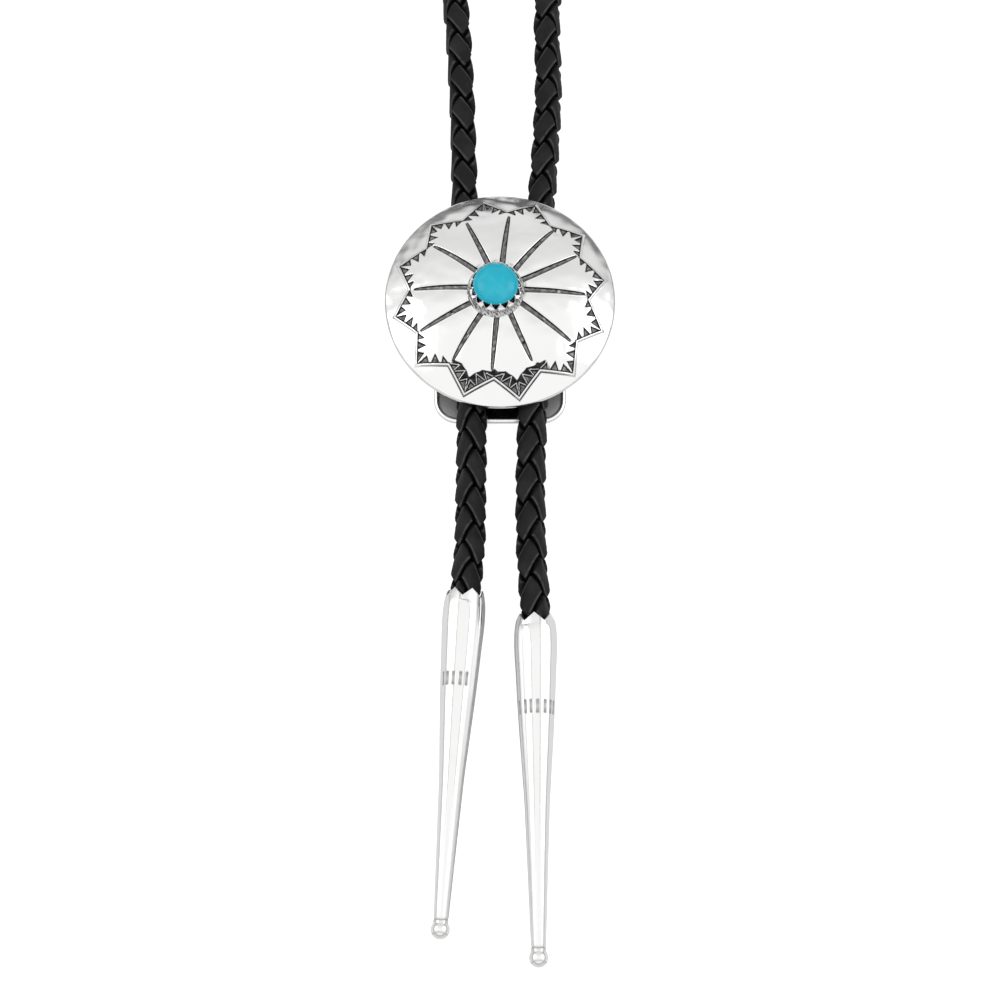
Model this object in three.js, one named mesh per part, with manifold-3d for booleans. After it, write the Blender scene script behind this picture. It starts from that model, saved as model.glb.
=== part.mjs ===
// A bolo tie lying on its back: a stamped silver concho with a turquoise in a saw-tooth
// bezel, the slide clasp behind it, one braided cord in an open neck loop, and two fluted
// silver tips on the cord's ends.
// Millimetres. +X right, +Y up the cord towards the neck loop, +Z out of the surface it lies
// on. The origin is on the clasp's flat back, straight below the concho's centre.

import * as THREE from 'three';
import { mergeVertices } from 'three/addons/utils/BufferGeometryUtils.js';
import Module from 'manifold-3d';

const wasm = await Module();
wasm.setup();

// Clearances between pieces that touch on the real tie
const SEAT_GAP = 0.3;

// Slide clasp: a rounded plate with a raised rim, a low lever and a post up to the concho
const CLASP_WIDTH = 25.5;
const CLASP_LENGTH = 32.4;
const CLASP_LOWER_EDGE = -22.4;
const CLASP_CORNER_RADIUS = 4.5;
const CLASP_PLATE = 0.9;
const CLASP_RIM_WIDTH = 1.1;
const CLASP_RIM_HEIGHT = 0.3;
const CLASP_EDGE_ROUND = 0.2;
const CLASP_LEVER_WIDTH = 6.4;
const CLASP_LEVER_LENGTH = 22.0;
const CLASP_LEVER_HEIGHT = 1.3;
const CLASP_POST_WIDTH = 5.2;
const CLASP_POST_LENGTH = 10.0;
const CLASP_POST_X = 0.4;

// Braided cord
const CORD_DIAMETER = 6.0;
const CORD_SIDES = 12;
const CORD_STEPS = 80;
const CORD_PINCH = 1.1;
const CORD_PINCH_LENGTH = 1.6;
const CORD_SEAT_DEPTH = 12.0;

// Concho: a domed round sheet with grooves between its petals and a star-shaped step
const CONCHO_DIAMETER = 44.45;
const CONCHO_RISE = 4.7;
const CONCHO_SHEET = 0.9;
const CONCHO_DOME_POWER = 3;
const PETAL_COUNT = 12;
const PETAL_SECTORS = 8;
const PETAL_PHASE = -3.5;
const PETAL_PUFF = 0.3;
const GROOVE_WIDTH = 0.95;
const GROOVE_DEPTH = 0.35;
const STAR_INNER = 0.774;
const STAR_OUTER = 0.9225;
const STAR_STEP = 0.2;
const STAR_STEP_WIDTH = 0.5;

// Setting: a base ring and a saw-tooth bezel soldered on the dome
const SETTING_X = -0.8;
const STONE_DIAMETER = 8.7;
const STONE_HEIGHT = 3.8;
const STONE_WALL_SHARE = 0.4;
const BEZEL_SHEET = 0.35;
const BEZEL_HEIGHT = 2.7;
const BEZEL_LEAN = 0.2;
const BEZEL_TEETH = 18;
const BEZEL_TOOTH = 0.8;
const BASE_RING_WIDTH = 0.6;
const BASE_RING_HEIGHT = 0.7;
const SOLDER_DEPTH = 0.45;

// Tips: hollow fluted cones with a zig-zag mouth and a ball soldered on the point
const TIP_LENGTH = 63.5;
const TIP_SHEET = 0.45;
const TIP_SWELL = 0.86;
const TIP_NECK_DIAMETER = 2.6;
const TIP_TEETH = 5;
const TIP_TOOTH_DEPTH = 2.4;
const TIP_TOOTH_PANEL = 27;
const TIP_FLUTE = 0.06;
const TIP_HOLLOW = 0.72;
const BALL_DIAMETER = 3.36;

// Where each tip's mouth lies, and how its point is turned away from straight down
const LEFT_TIP = { mouthX: -5.97, mouthY: -56.15, yaw: -4.1, roll: 20 };
const RIGHT_TIP = { mouthX: 6.19, mouthY: -60.8, yaw: 0.5, roll: 2 };

// The cone's radius below the shoulder: taper 1 is the shoulder, 0 the neck above the ball.
// The row that rests is the one the tip lies on.
const TIP_TAPER = [
  { along: 0.043, taper: 0.947 },
  { along: 0.085, taper: 1.0 },
  { along: 0.12, taper: 0.992, rests: true },
  { along: 0.17, taper: 0.917 },
  { along: 0.25, taper: 0.833 },
  { along: 0.35, taper: 0.7 },
  { along: 0.45, taper: 0.538 },
  { along: 0.55, taper: 0.379 },
  { along: 0.65, taper: 0.284 },
  { along: 0.75, taper: 0.189 },
  { along: 0.85, taper: 0.102 },
  { along: 0.93, taper: 0.03 },
  { along: 0.96, taper: 0.0 },
];

// The cord's middle line from the left tip, over the clasp, round the neck and back: x, y, z
const CORD_ROUTE = [
  [-5.65, -48, 3.85],
  [-5.5, -38, 3.95],
  [-5.4, -28, 4.35],
  [-5.5, -19, 4.5],
  [-5.9, -6, 4.5],
  [-6.4, 7, 4.45],
  [-7.0, 21, 3.75],
  [-7.3, 34, 3.2],
  [-7.9, 50, 3.02],
  [-9.4, 71, 3],
  [-13.5, 98, 3],
  [-27, 135, 3],
  [-48, 177, 3],
  [-69, 223, 3],
  [-78.5, 269, 3],
  [-69.5, 312, 3],
  [-40.5, 342, 3],
  [2, 352, 3],
  [43, 339.5, 3],
  [71, 308.5, 3],
  [79.5, 265.5, 3],
  [70.5, 220.5, 3],
  [49.5, 175.5, 3],
  [28.5, 135, 3],
  [14.5, 98, 3],
  [10, 71, 3],
  [9.9, 50, 3.02],
  [9.2, 36, 3.2],
  [8.1, 21, 3.75],
  [7.4, 7, 4.45],
  [6.9, -6, 4.5],
  [6.3, -19, 4.5],
  [6.0, -28, 4.35],
  [5.75, -38, 3.95],
  [5.9, -50, 3.85],
];

const silver = { color: 0xd8d9da, roughness: 0.22, metalness: 1 };
const nickel = { color: 0x9a9b9c, roughness: 0.4, metalness: 1 };
const leather = { color: 0x17181a, roughness: 0.62, metalness: 0 };
const turquoise = { color: 0x1fb0c8, roughness: 0.25, metalness: 0 };

// Sizes that follow from the ones above
const cordRadius = CORD_DIAMETER / 2;
const pinchedRadius = cordRadius - CORD_PINCH / 2;
const cordOverClasp = CLASP_PLATE + CLASP_RIM_HEIGHT + SEAT_GAP + cordRadius;
const conchoRadius = CONCHO_DIAMETER / 2;
const conchoRimTop = cordOverClasp + cordRadius + SEAT_GAP + CONCHO_SHEET;
const conchoCrown = conchoRimTop + CONCHO_RISE;
const stoneRadius = STONE_DIAMETER / 2;
const bezelRadius = stoneRadius + SEAT_GAP + BEZEL_SHEET;
const baseRingRadius = bezelRadius + BASE_RING_WIDTH;
const mouthRadius = pinchedRadius + SEAT_GAP + TIP_SHEET;
const shoulderRadius = mouthRadius + TIP_SWELL;
const neckRadius = TIP_NECK_DIAMETER / 2;
const ballRadius = BALL_DIAMETER / 2;
const radians = THREE.MathUtils.degToRad;

// A turned skin about +Z, whose every point is then set by place(ring, sector)
function turned(rings, sectors, place) {
  const profile = Array.from({ length: rings }, (_, ring) => new THREE.Vector2(1, ring));
  const skin = new THREE.LatheGeometry(profile, sectors);
  const position = skin.getAttribute('position');
  for (let sector = 0; sector <= sectors; sector += 1) {
    for (let ring = 0; ring < rings; ring += 1) {
      const { radius, angle, z } = place(ring, sector % sectors);
      position.setXYZ(
        sector * rings + ring, radius * Math.cos(angle), radius * Math.sin(angle), z);
    }
  }
  return skin;
}

// The geometry as a closed solid: its shared points merged and its collapsed faces dropped
function solid(geometry) {
  const bare = geometry.clone();
  bare.deleteAttribute('normal');
  bare.deleteAttribute('uv');
  const merged = mergeVertices(bare, 1e-4);
  const kept = [];
  const index = merged.getIndex().array;
  for (let i = 0; i < index.length; i += 3) {
    const [a, b, c] = [index[i], index[i + 1], index[i + 2]];
    if (a !== b && b !== c && c !== a) kept.push(a, b, c);
  }
  const vertProperties = new Float32Array(merged.getAttribute('position').array);
  const triVerts = new Uint32Array(kept);
  return new wasm.Manifold(new wasm.Mesh({ numProp: 3, vertProperties, triVerts }));
}

// A named mesh of a solid in one finish
function piece(name, body, finish) {
  const { vertProperties, triVerts } = body.getMesh();
  const geometry = new THREE.BufferGeometry();
  geometry.setAttribute('position', new THREE.BufferAttribute(vertProperties, 3));
  geometry.setIndex(new THREE.BufferAttribute(triVerts, 1));
  geometry.computeVertexNormals();
  const mesh = new THREE.Mesh(geometry, new THREE.MeshStandardMaterial(finish));
  mesh.name = name;
  return mesh;
}

// Height of the dome's plain upper face at a radius from the concho's centre
function domeHeight(radius) {
  return conchoRimTop + CONCHO_RISE * (1 - (radius / conchoRadius) ** CONCHO_DOME_POWER);
}

// Radius of the star's zig-zag outline, at an angle from the groove that starts the petal
function starRadius(angle) {
  const half = Math.PI / PETAL_COUNT;
  const fromGroove = Math.min(angle, 2 * half - angle);
  const inner = STAR_INNER * conchoRadius;
  const outer = STAR_OUTER * conchoRadius;
  const across = inner * Math.sin(fromGroove) + outer * Math.sin(half - fromGroove);
  return inner * outer * Math.sin(half) / across;
}

// Width of a groove: full at the base ring, and nothing where it meets the star
function grooveWidth(radius) {
  const inner = STAR_INNER * conchoRadius;
  const left = THREE.MathUtils.clamp((inner - radius) / (inner - baseRingRadius), 0, 1);
  return GROOVE_WIDTH * Math.sqrt(left);
}

// Angle of a sector within its petal: the first and last stand on the groove's two edges
function petalAngle(column, radius) {
  const petal = 2 * Math.PI / PETAL_COUNT;
  const even = petal * column / PETAL_SECTORS;
  const edge = Math.asin(Math.max(grooveWidth(radius), GROOVE_WIDTH / 4) / 2 / radius);
  if (column === 0) return 0;
  if (column === 1) return Math.min(edge, even);
  if (column === PETAL_SECTORS - 1) return petal - Math.min(edge, petal - even);
  return even;
}

// The dome: petals puffed up between grooves, a step down at the star, a plain rim outside
// it, and the same dome one sheet lower on the inside
function dome() {
  const rings = [
    { share: 0, face: 'upper' },
    { share: 0.2, face: 'upper' },
    { share: 0.27, face: 'upper' },
    { share: 0.38, face: 'petal' },
    { share: 0.5, face: 'petal' },
    { share: 0.62, face: 'petal' },
    { share: 0.72, face: 'petal' },
    { offset: -STAR_STEP_WIDTH / 2, face: 'petal' },
    { offset: STAR_STEP_WIDTH / 2, face: 'outside' },
    { share: 0.965, face: 'outside' },
    { share: 1, face: 'edge' },
    { share: 1, face: 'lower' },
    { share: 0.86, face: 'lower' },
    { share: 0.65, face: 'lower' },
    { share: 0.35, face: 'lower' },
    { share: 0, face: 'lower' },
  ].reverse();
  const petalHeight = (column, radius) => {
    const along = THREE.MathUtils.clamp(radius / (STAR_OUTER * conchoRadius), 0, 1);
    const across = Math.sin(Math.PI * column / PETAL_SECTORS);
    const groove = column === 0 ? GROOVE_DEPTH * (grooveWidth(radius) > 0 ? 1 : 0) : 0;
    return STAR_STEP + PETAL_PUFF * Math.sin(Math.PI * along) * Math.sqrt(across) - groove;
  };
  const place = (ring, sector) => {
    const { share, offset, face } = rings[ring];
    const column = sector % PETAL_SECTORS;
    const petal = Math.floor(sector / PETAL_SECTORS);
    let radius = conchoRadius * (share ?? 0);
    let angle = 2 * Math.PI * column / PETAL_COUNT / PETAL_SECTORS;
    if (radius > 0 && face === 'petal') angle = petalAngle(column, radius);
    if (offset !== undefined) radius = starRadius(angle) + offset;
    let z = domeHeight(radius);
    if (face === 'petal') z += petalHeight(column, radius);
    if (face === 'upper') z += STAR_STEP;
    if (face === 'edge') z = domeHeight(radius) - CONCHO_SHEET * 0.3;
    if (face === 'lower') z -= CONCHO_SHEET;
    const turn = petal * 2 * Math.PI / PETAL_COUNT + radians(90 + PETAL_PHASE);
    return { radius, angle: angle + turn, z };
  };
  return solid(turned(rings.length, PETAL_COUNT * PETAL_SECTORS, place));
}

// The bezel cup: a base ring, a thin wall leaning in, and saw teeth along its top
function bezel() {
  const foot = conchoCrown - SOLDER_DEPTH;
  const rings = [
    { radius: baseRingRadius, z: foot },
    { radius: baseRingRadius, z: conchoCrown + BASE_RING_HEIGHT * 0.6 },
    { radius: baseRingRadius - BASE_RING_WIDTH * 0.4, z: conchoCrown + BASE_RING_HEIGHT },
    { radius: bezelRadius, z: conchoCrown + BASE_RING_HEIGHT },
    { radius: bezelRadius - BEZEL_LEAN, z: conchoCrown + BEZEL_HEIGHT, tooth: true },
    { radius: bezelRadius - BEZEL_SHEET - BEZEL_LEAN, z: conchoCrown + BEZEL_HEIGHT, tooth: true },
    { radius: bezelRadius - BEZEL_SHEET, z: conchoCrown + BASE_RING_HEIGHT },
    { radius: bezelRadius - BEZEL_SHEET, z: foot },
    { radius: baseRingRadius, z: foot },
  ];
  const toothSectors = 4;
  const place = (ring, sector) => {
    const { radius, z, tooth } = rings[ring];
    const fromPoint = Math.abs((sector % toothSectors) / toothSectors - 0.5) * 2;
    const angle = 2 * Math.PI * sector / (BEZEL_TEETH * toothSectors);
    return { radius, angle, z: tooth ? z - BEZEL_TOOTH * fromPoint : z };
  };
  return solid(turned(rings.length, BEZEL_TEETH * toothSectors, place));
}

// A low round cabochon: a flat back, a short wall and an oval dome
function stone() {
  const wall = STONE_HEIGHT * STONE_WALL_SHARE;
  const chamfer = STONE_HEIGHT * 0.08;
  const profile = [new THREE.Vector2(0, 0), new THREE.Vector2(stoneRadius - chamfer, 0),
    new THREE.Vector2(stoneRadius, chamfer)];
  const domeSteps = 7;
  for (let step = 0; step <= domeSteps; step += 1) {
    const angle = Math.PI / 2 * step / domeSteps;
    const height = wall + (STONE_HEIGHT - wall) * Math.sin(angle);
    const radius = step === domeSteps ? 0 : stoneRadius * Math.cos(angle);
    profile.push(new THREE.Vector2(radius, height));
  }
  return solid(new THREE.LatheGeometry(profile, 32).rotateX(Math.PI / 2));
}

// A rectangle with rounded corners, drawn about the origin
function roundedRectangle(width, length, corner) {
  const [x, y] = [width / 2, length / 2];
  const outline = new THREE.Shape();
  outline.moveTo(x - corner, -y);
  outline.absarc(x - corner, corner - y, corner, -Math.PI / 2, 0);
  outline.absarc(x - corner, y - corner, corner, 0, Math.PI / 2);
  outline.absarc(corner - x, y - corner, corner, Math.PI / 2, Math.PI);
  outline.absarc(corner - x, corner - y, corner, Math.PI, Math.PI * 1.5);
  outline.closePath();
  return outline;
}

// An upright slab of an outline, with its edges rounded inside the outline's own size
function slab(outline, bottom, top, round) {
  const settings = {
    depth: top - bottom - 2 * round,
    bevelEnabled: round > 0,
    bevelSize: round,
    bevelOffset: -round,
    bevelThickness: round,
    bevelSegments: 1,
    curveSegments: 5,
  };
  return new THREE.ExtrudeGeometry(outline, settings).translate(0, 0, bottom + round);
}

// The clasp in one piece: plate, raised rim, lever between the cords, and post to the concho
function clasp() {
  const centreY = CLASP_LOWER_EDGE + CLASP_LENGTH / 2;
  const rimTop = CLASP_PLATE + CLASP_RIM_HEIGHT;
  const whole = roundedRectangle(CLASP_WIDTH, CLASP_LENGTH, CLASP_CORNER_RADIUS);
  const inside = roundedRectangle(
    CLASP_WIDTH - 2 * CLASP_RIM_WIDTH,
    CLASP_LENGTH - 2 * CLASP_RIM_WIDTH,
    CLASP_CORNER_RADIUS - CLASP_RIM_WIDTH,
  );
  const tray = solid(slab(whole, 0, rimTop, CLASP_EDGE_ROUND))
    .subtract(solid(slab(inside, CLASP_PLATE, rimTop + CLASP_PLATE, 0)));
  const lever = roundedRectangle(CLASP_LEVER_WIDTH, CLASP_LEVER_LENGTH, CLASP_LEVER_WIDTH / 8);
  const leverBottom = CLASP_PLATE / 2;
  const leverY = CLASP_LOWER_EDGE + CLASP_RIM_WIDTH + SEAT_GAP + CLASP_LEVER_LENGTH / 2;
  const leverSlab = slab(lever, leverBottom, CLASP_PLATE + CLASP_LEVER_HEIGHT, CLASP_EDGE_ROUND);
  const post = roundedRectangle(CLASP_POST_WIDTH, CLASP_POST_LENGTH, CLASP_POST_WIDTH / 4);
  const postTop = conchoCrown - CONCHO_SHEET - SEAT_GAP - dishAtPost();
  const postSlab = slab(post, leverBottom, postTop, CLASP_EDGE_ROUND);
  return tray.translate([0, centreY, 0])
    .add(solid(leverSlab).translate([CLASP_POST_X, leverY, 0]))
    .add(solid(postSlab).translate([CLASP_POST_X, 0, 0]));
}

// How far the dome falls between its centre and the post's farthest corner
function dishAtPost() {
  const corner = Math.hypot(CLASP_POST_X + CLASP_POST_WIDTH / 2, CLASP_POST_LENGTH / 2);
  return conchoCrown - domeHeight(corner);
}

// A tip's outer radius at a distance down its axis from the mouth
function tipRadius(distance) {
  const rows = [{ along: 0, radius: mouthRadius }];
  for (const { along, taper } of TIP_TAPER) {
    rows.push({ along, radius: neckRadius + taper * (shoulderRadius - neckRadius) });
  }
  const along = distance / TIP_LENGTH;
  const next = Math.max(1, rows.findIndex((row) => row.along >= along));
  const [a, b] = [rows[next - 1], rows[next]];
  return THREE.MathUtils.mapLinear(along, a.along, b.along, a.radius, b.radius);
}

// A tip about +Z with its mouth at the origin and its ball at the far end, below
function tip() {
  const ballCentre = TIP_LENGTH - ballRadius;
  const ballTop = Math.sqrt(ballRadius ** 2 - neckRadius ** 2);
  const rings = [{ distance: TIP_LENGTH, ball: 0 }];
  for (const turn of [30, 60, 90, 115]) {
    rings.push({
      distance: ballCentre + ballRadius * Math.cos(radians(turn)),
      ball: ballRadius * Math.sin(radians(turn)),
    });
  }
  rings.push({ distance: ballCentre - ballTop, ball: neckRadius });
  for (const { along } of [...TIP_TAPER].reverse()) {
    if (along * TIP_LENGTH < ballCentre - ballTop) rings.push({ distance: along * TIP_LENGTH });
  }
  rings.push({ distance: 0, mouth: true }, { distance: 0, mouth: true, inside: true });
  for (const { along } of TIP_TAPER) {
    if (along < TIP_HOLLOW) rings.push({ distance: along * TIP_LENGTH, inside: true });
  }
  rings.push({ distance: TIP_HOLLOW * TIP_LENGTH, inside: true, ball: 0 });
  const bend = [0, TIP_TOOTH_PANEL / 2, 180 / TIP_TEETH, 360 / TIP_TEETH - TIP_TOOTH_PANEL / 2];
  const place = (ring, sector) => {
    const { distance, ball, mouth, inside } = rings[ring];
    const tooth = Math.floor(sector / bend.length);
    const column = sector % bend.length;
    const angle = radians(bend[column] + tooth * 360 / TIP_TEETH);
    if (ball !== undefined) return { radius: ball, angle, z: -distance };
    const fromPoint = Math.min(bend[column], 360 / TIP_TEETH - bend[column]) * TIP_TEETH / 180;
    const down = mouth ? TIP_TOOTH_DEPTH * fromPoint : distance;
    let radius = tipRadius(Math.max(down, mouth ? 0 : TIP_TAPER[0].along * TIP_LENGTH));
    const panel = column === 0 ? TIP_TOOTH_PANEL : 360 / TIP_TEETH - TIP_TOOTH_PANEL;
    if (column % 2 === 0) radius *= mouth ? 1 : Math.cos(radians(panel / 2)) * (1 - TIP_FLUTE / 2);
    if (inside) radius -= TIP_SHEET;
    return { radius, angle, z: -down };
  };
  return solid(turned(rings.length, TIP_TEETH * bend.length, place));
}

// A tip's axis: it leans by its yaw, and sinks so that its ball rests where its shoulder does
function tipAxis({ mouthX, mouthY, yaw }) {
  const restDistance = TIP_TAPER.find((row) => row.rests).along * TIP_LENGTH;
  const restRadius = tipRadius(restDistance);
  const span = TIP_LENGTH - ballRadius - restDistance;
  const sink = Math.asin((restRadius - ballRadius) / span);
  const level = new THREE.Vector3(Math.sin(radians(yaw)), -Math.cos(radians(yaw)), 0);
  const down = level.multiplyScalar(Math.cos(sink)).setZ(-Math.sin(sink));
  const mouthZ = restRadius + restDistance * Math.sin(sink);
  return { mouth: new THREE.Vector3(mouthX, mouthY, mouthZ), down };
}

// The matrix that stands a body made about +Z on a tip's axis, turned by its roll
function onTip(side) {
  const { mouth, down } = tipAxis(side);
  const up = down.clone().negate();
  const across = new THREE.Vector3(0, 0, 1).cross(up).normalize();
  const out = new THREE.Vector3().crossVectors(up, across);
  const placed = new THREE.Matrix4().makeBasis(across, out, up).setPosition(mouth);
  return placed.multiply(new THREE.Matrix4().makeRotationZ(radians(side.roll)));
}

// The cord: one tube, pinched where each tip grips it
function cord() {
  const route = CORD_ROUTE.map(([x, y, z]) => new THREE.Vector3(x, y, z));
  for (const [side, add] of [[LEFT_TIP, 'unshift'], [RIGHT_TIP, 'push']]) {
    const { mouth, down } = tipAxis(side);
    const end = mouth.clone().addScaledVector(down, CORD_SEAT_DEPTH);
    if (add === 'unshift') route.unshift(end, mouth);
    else route.push(mouth, end);
  }
  const line = new THREE.CatmullRomCurve3(route, false, 'centripetal');
  const section = new THREE.Shape();
  for (let side = 0; side < CORD_SIDES; side += 1) {
    const angle = 2 * Math.PI * side / CORD_SIDES;
    const [x, y] = [cordRadius * Math.cos(angle), cordRadius * Math.sin(angle)];
    if (side === 0) section.moveTo(x, y);
    else section.lineTo(x, y);
  }
  section.closePath();
  const tube = new THREE.ExtrudeGeometry(section, { steps: CORD_STEPS, extrudePath: line });
  let body = solid(tube);
  for (const side of [LEFT_TIP, RIGHT_TIP]) {
    const outer = CORD_DIAMETER;
    const collar = new THREE.LatheGeometry([
      new THREE.Vector2(cordRadius * 1.02, CORD_PINCH_LENGTH),
      new THREE.Vector2(pinchedRadius, 0),
      new THREE.Vector2(pinchedRadius, -2 * CORD_SEAT_DEPTH),
      new THREE.Vector2(outer, -2 * CORD_SEAT_DEPTH),
      new THREE.Vector2(outer, CORD_PINCH_LENGTH),
      new THREE.Vector2(cordRadius * 1.02, CORD_PINCH_LENGTH),
    ], CORD_SIDES * 2).rotateX(Math.PI / 2).applyMatrix4(onTip({ ...side, roll: 0 }));
    body = body.subtract(solid(collar));
  }
  return body;
}

function place(mesh, matrix) {
  mesh.applyMatrix4(matrix);
  return mesh;
}

const boloTie = new THREE.Group();

const slide = new THREE.Group();
const setting = new THREE.Group();
const settingMatrix = new THREE.Matrix4().makeTranslation(SETTING_X, 0, 0);
slide.add(piece('concho', dome().add(bezel().translate([SETTING_X, 0, 0])), silver));
slide.add(piece('slide_clasp', clasp(), nickel));
setting.add(piece('stone', stone(), turquoise));
setting.applyMatrix4(settingMatrix);
setting.position.z = conchoCrown + STAR_STEP + SEAT_GAP;
slide.add(setting);
boloTie.add(slide);

boloTie.add(piece('braided_cord', cord(), leather));
boloTie.add(place(piece('left_tip', tip(), silver), onTip(LEFT_TIP)));
boloTie.add(place(piece('right_tip', tip(), silver), onTip(RIGHT_TIP)));

export default boloTie;
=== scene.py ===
"""A bolo tie lying on a pale surface, seen from the tips' side.

A stamped silver concho with a turquoise in a saw-tooth bezel sits on a slide clasp. One cord,
braided from four leather strands, runs from tip to tip through the clasp and makes an open
neck loop, and fluted silver tips finish its ends.
"""

import logging
import math
from collections.abc import Callable, Sequence
from dataclasses import dataclass
from enum import Enum
from itertools import pairwise

import bpy
import numpy as np
from mathutils import Matrix, Vector


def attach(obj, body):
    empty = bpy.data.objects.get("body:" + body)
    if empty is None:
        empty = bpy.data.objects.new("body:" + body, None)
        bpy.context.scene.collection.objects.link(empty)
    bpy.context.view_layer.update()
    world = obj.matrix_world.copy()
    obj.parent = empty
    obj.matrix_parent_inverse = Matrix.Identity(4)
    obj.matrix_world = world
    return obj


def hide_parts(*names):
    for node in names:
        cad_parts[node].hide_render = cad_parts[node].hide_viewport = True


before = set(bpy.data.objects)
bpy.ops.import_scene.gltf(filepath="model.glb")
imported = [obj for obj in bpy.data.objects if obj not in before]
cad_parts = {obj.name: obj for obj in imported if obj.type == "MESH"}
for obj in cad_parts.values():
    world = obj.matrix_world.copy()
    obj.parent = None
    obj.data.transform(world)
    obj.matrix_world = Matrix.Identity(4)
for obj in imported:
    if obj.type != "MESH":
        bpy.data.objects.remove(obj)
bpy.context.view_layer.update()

LOG = logging.getLogger("bolo_tie")

Colour = tuple[float, float, float]
Point = tuple[float, float, float]
Span = tuple[float, float]
Profile = Sequence[tuple[float, float]]
Shaping = Callable[[np.ndarray], np.ndarray]


class Signal:
    """A socket of a material's nodes, with the arithmetic that a finish is written in."""

    def __init__(self, graph: "Graph", socket: bpy.types.NodeSocket) -> None:
        """Wraps one output socket.

        Args:
            graph: The material graph that the socket is in.
            socket: The output socket.
        """
        self.graph = graph
        self.socket = socket

    def _math(self, operation: str, *values: object) -> "Signal":
        """Adds a Math node.

        Args:
            operation: The node's operation.
            *values: What it acts on, in the order of its sockets.

        Returns:
            The node's result.
        """
        return self.graph.node("ShaderNodeMath", {"operation": operation}, dict(enumerate(values)))

    def __add__(self, other: object) -> "Signal":
        """The sum."""
        return self._math("ADD", self, other)

    __radd__ = __add__

    def __sub__(self, other: object) -> "Signal":
        """The difference."""
        return self._math("SUBTRACT", self, other)

    def __mul__(self, other: object) -> "Signal":
        """The product."""
        return self._math("MULTIPLY", self, other)

    __rmul__ = __mul__

    def stepped(self, low: float, high: float) -> "Signal":
        """A soft step.

        Args:
            low: Where it starts to rise from 0.
            high: Where it reaches 1.

        Returns:
            The stepped value.
        """
        settings = {"interpolation_type": "SMOOTHSTEP"}
        return self.graph.node("ShaderNodeMapRange", settings, {0: self, 1: low, 2: high})


class Graph:
    """The node graph of one material or of the world."""

    def __init__(self, owner: bpy.types.Material | bpy.types.World) -> None:
        """Empties the owner's nodes.

        Args:
            owner: What the graph belongs to.
        """
        self.owner = owner
        owner.use_nodes = True
        self.tree = owner.node_tree
        self.tree.nodes.clear()

    def node(
        self, kind: str, settings: dict[str, object], inputs: dict[object, object], output: int = 0
    ) -> Signal:
        """Adds a node.

        Args:
            kind: The node's type.
            settings: Its properties, set first. A ramp's stops are (place, colour) pairs.
            inputs: The values or signals of its sockets, by index or name.
            output: The index of the output that is wanted.

        Returns:
            That output, or the first input of a node that has none.
        """
        made = self.tree.nodes.new(kind)
        for key, value in settings.items():
            if key == "stops":
                ramp = made.color_ramp.elements
                for index, (place, colour) in enumerate(value):
                    stop = ramp[index] if index < 2 else ramp.new(place)
                    stop.position = place
                    stop.color = (*colour, 1.0)
            else:
                setattr(made, key, value)
        for key, value in inputs.items():
            if isinstance(value, Signal):
                self.tree.links.new(value.socket, made.inputs[key])
            elif isinstance(value, tuple) and made.inputs[key].type == "RGBA":
                made.inputs[key].default_value = (*value, 1.0)
            else:
                made.inputs[key].default_value = value
        return Signal(self, made.outputs[output]) if made.outputs else Signal(self, made.inputs[0])

    def place(self) -> Signal:
        """The point on the piece, in its own coordinates."""
        return self.node("ShaderNodeTexCoord", {}, {}, 3)

    def painted(self, name: str) -> Signal:
        """The value painted on the piece's points under a name."""
        return self.node("ShaderNodeAttribute", {"attribute_name": name}, {}, 2)

    def noise(self, size: float, detail: float = 3.0, roughness: float = 0.55) -> Signal:
        """Smooth noise on the piece.

        Args:
            size: The width of one patch, in metres.
            detail: How many finer layers it has.
            roughness: How strong the finer layers are.

        Returns:
            The noise, about 0.5 on average.
        """
        inputs = {"Vector": self.place(), "Scale": 1 / size, "Detail": detail, "Roughness": roughness}
        return self.node("ShaderNodeTexNoise", {}, inputs)

    def mixed(self, share: object, first: object, second: object) -> Signal:
        """A mix of two colours.

        Args:
            share: How much of the second, from 0 to 1.
            first: A colour or signal.
            second: A colour or signal.

        Returns:
            The mixed colour.
        """
        return self.node("ShaderNodeMix", {"data_type": "RGBA"}, {0: share, 6: first, 7: second}, 2)

    def bumped(self, height: Signal, distance: float) -> Signal:
        """A normal that follows a height.

        Args:
            height: The height.
            distance: What a height of 1 stands for, in metres.

        Returns:
            The normal.
        """
        return self.node("ShaderNodeBump", {}, {"Height": height, "Distance": distance, "Strength": 1.0})

    def surface(self, inputs: dict[str, object]) -> bpy.types.Material:
        """Closes the graph with one Principled surface.

        Args:
            inputs: The surface's values or signals, by socket name.

        Returns:
            The material.
        """
        shader = self.node("ShaderNodeBsdfPrincipled", {}, inputs)
        self.node("ShaderNodeOutputMaterial", {}, {0: shader})
        return self.owner


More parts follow.
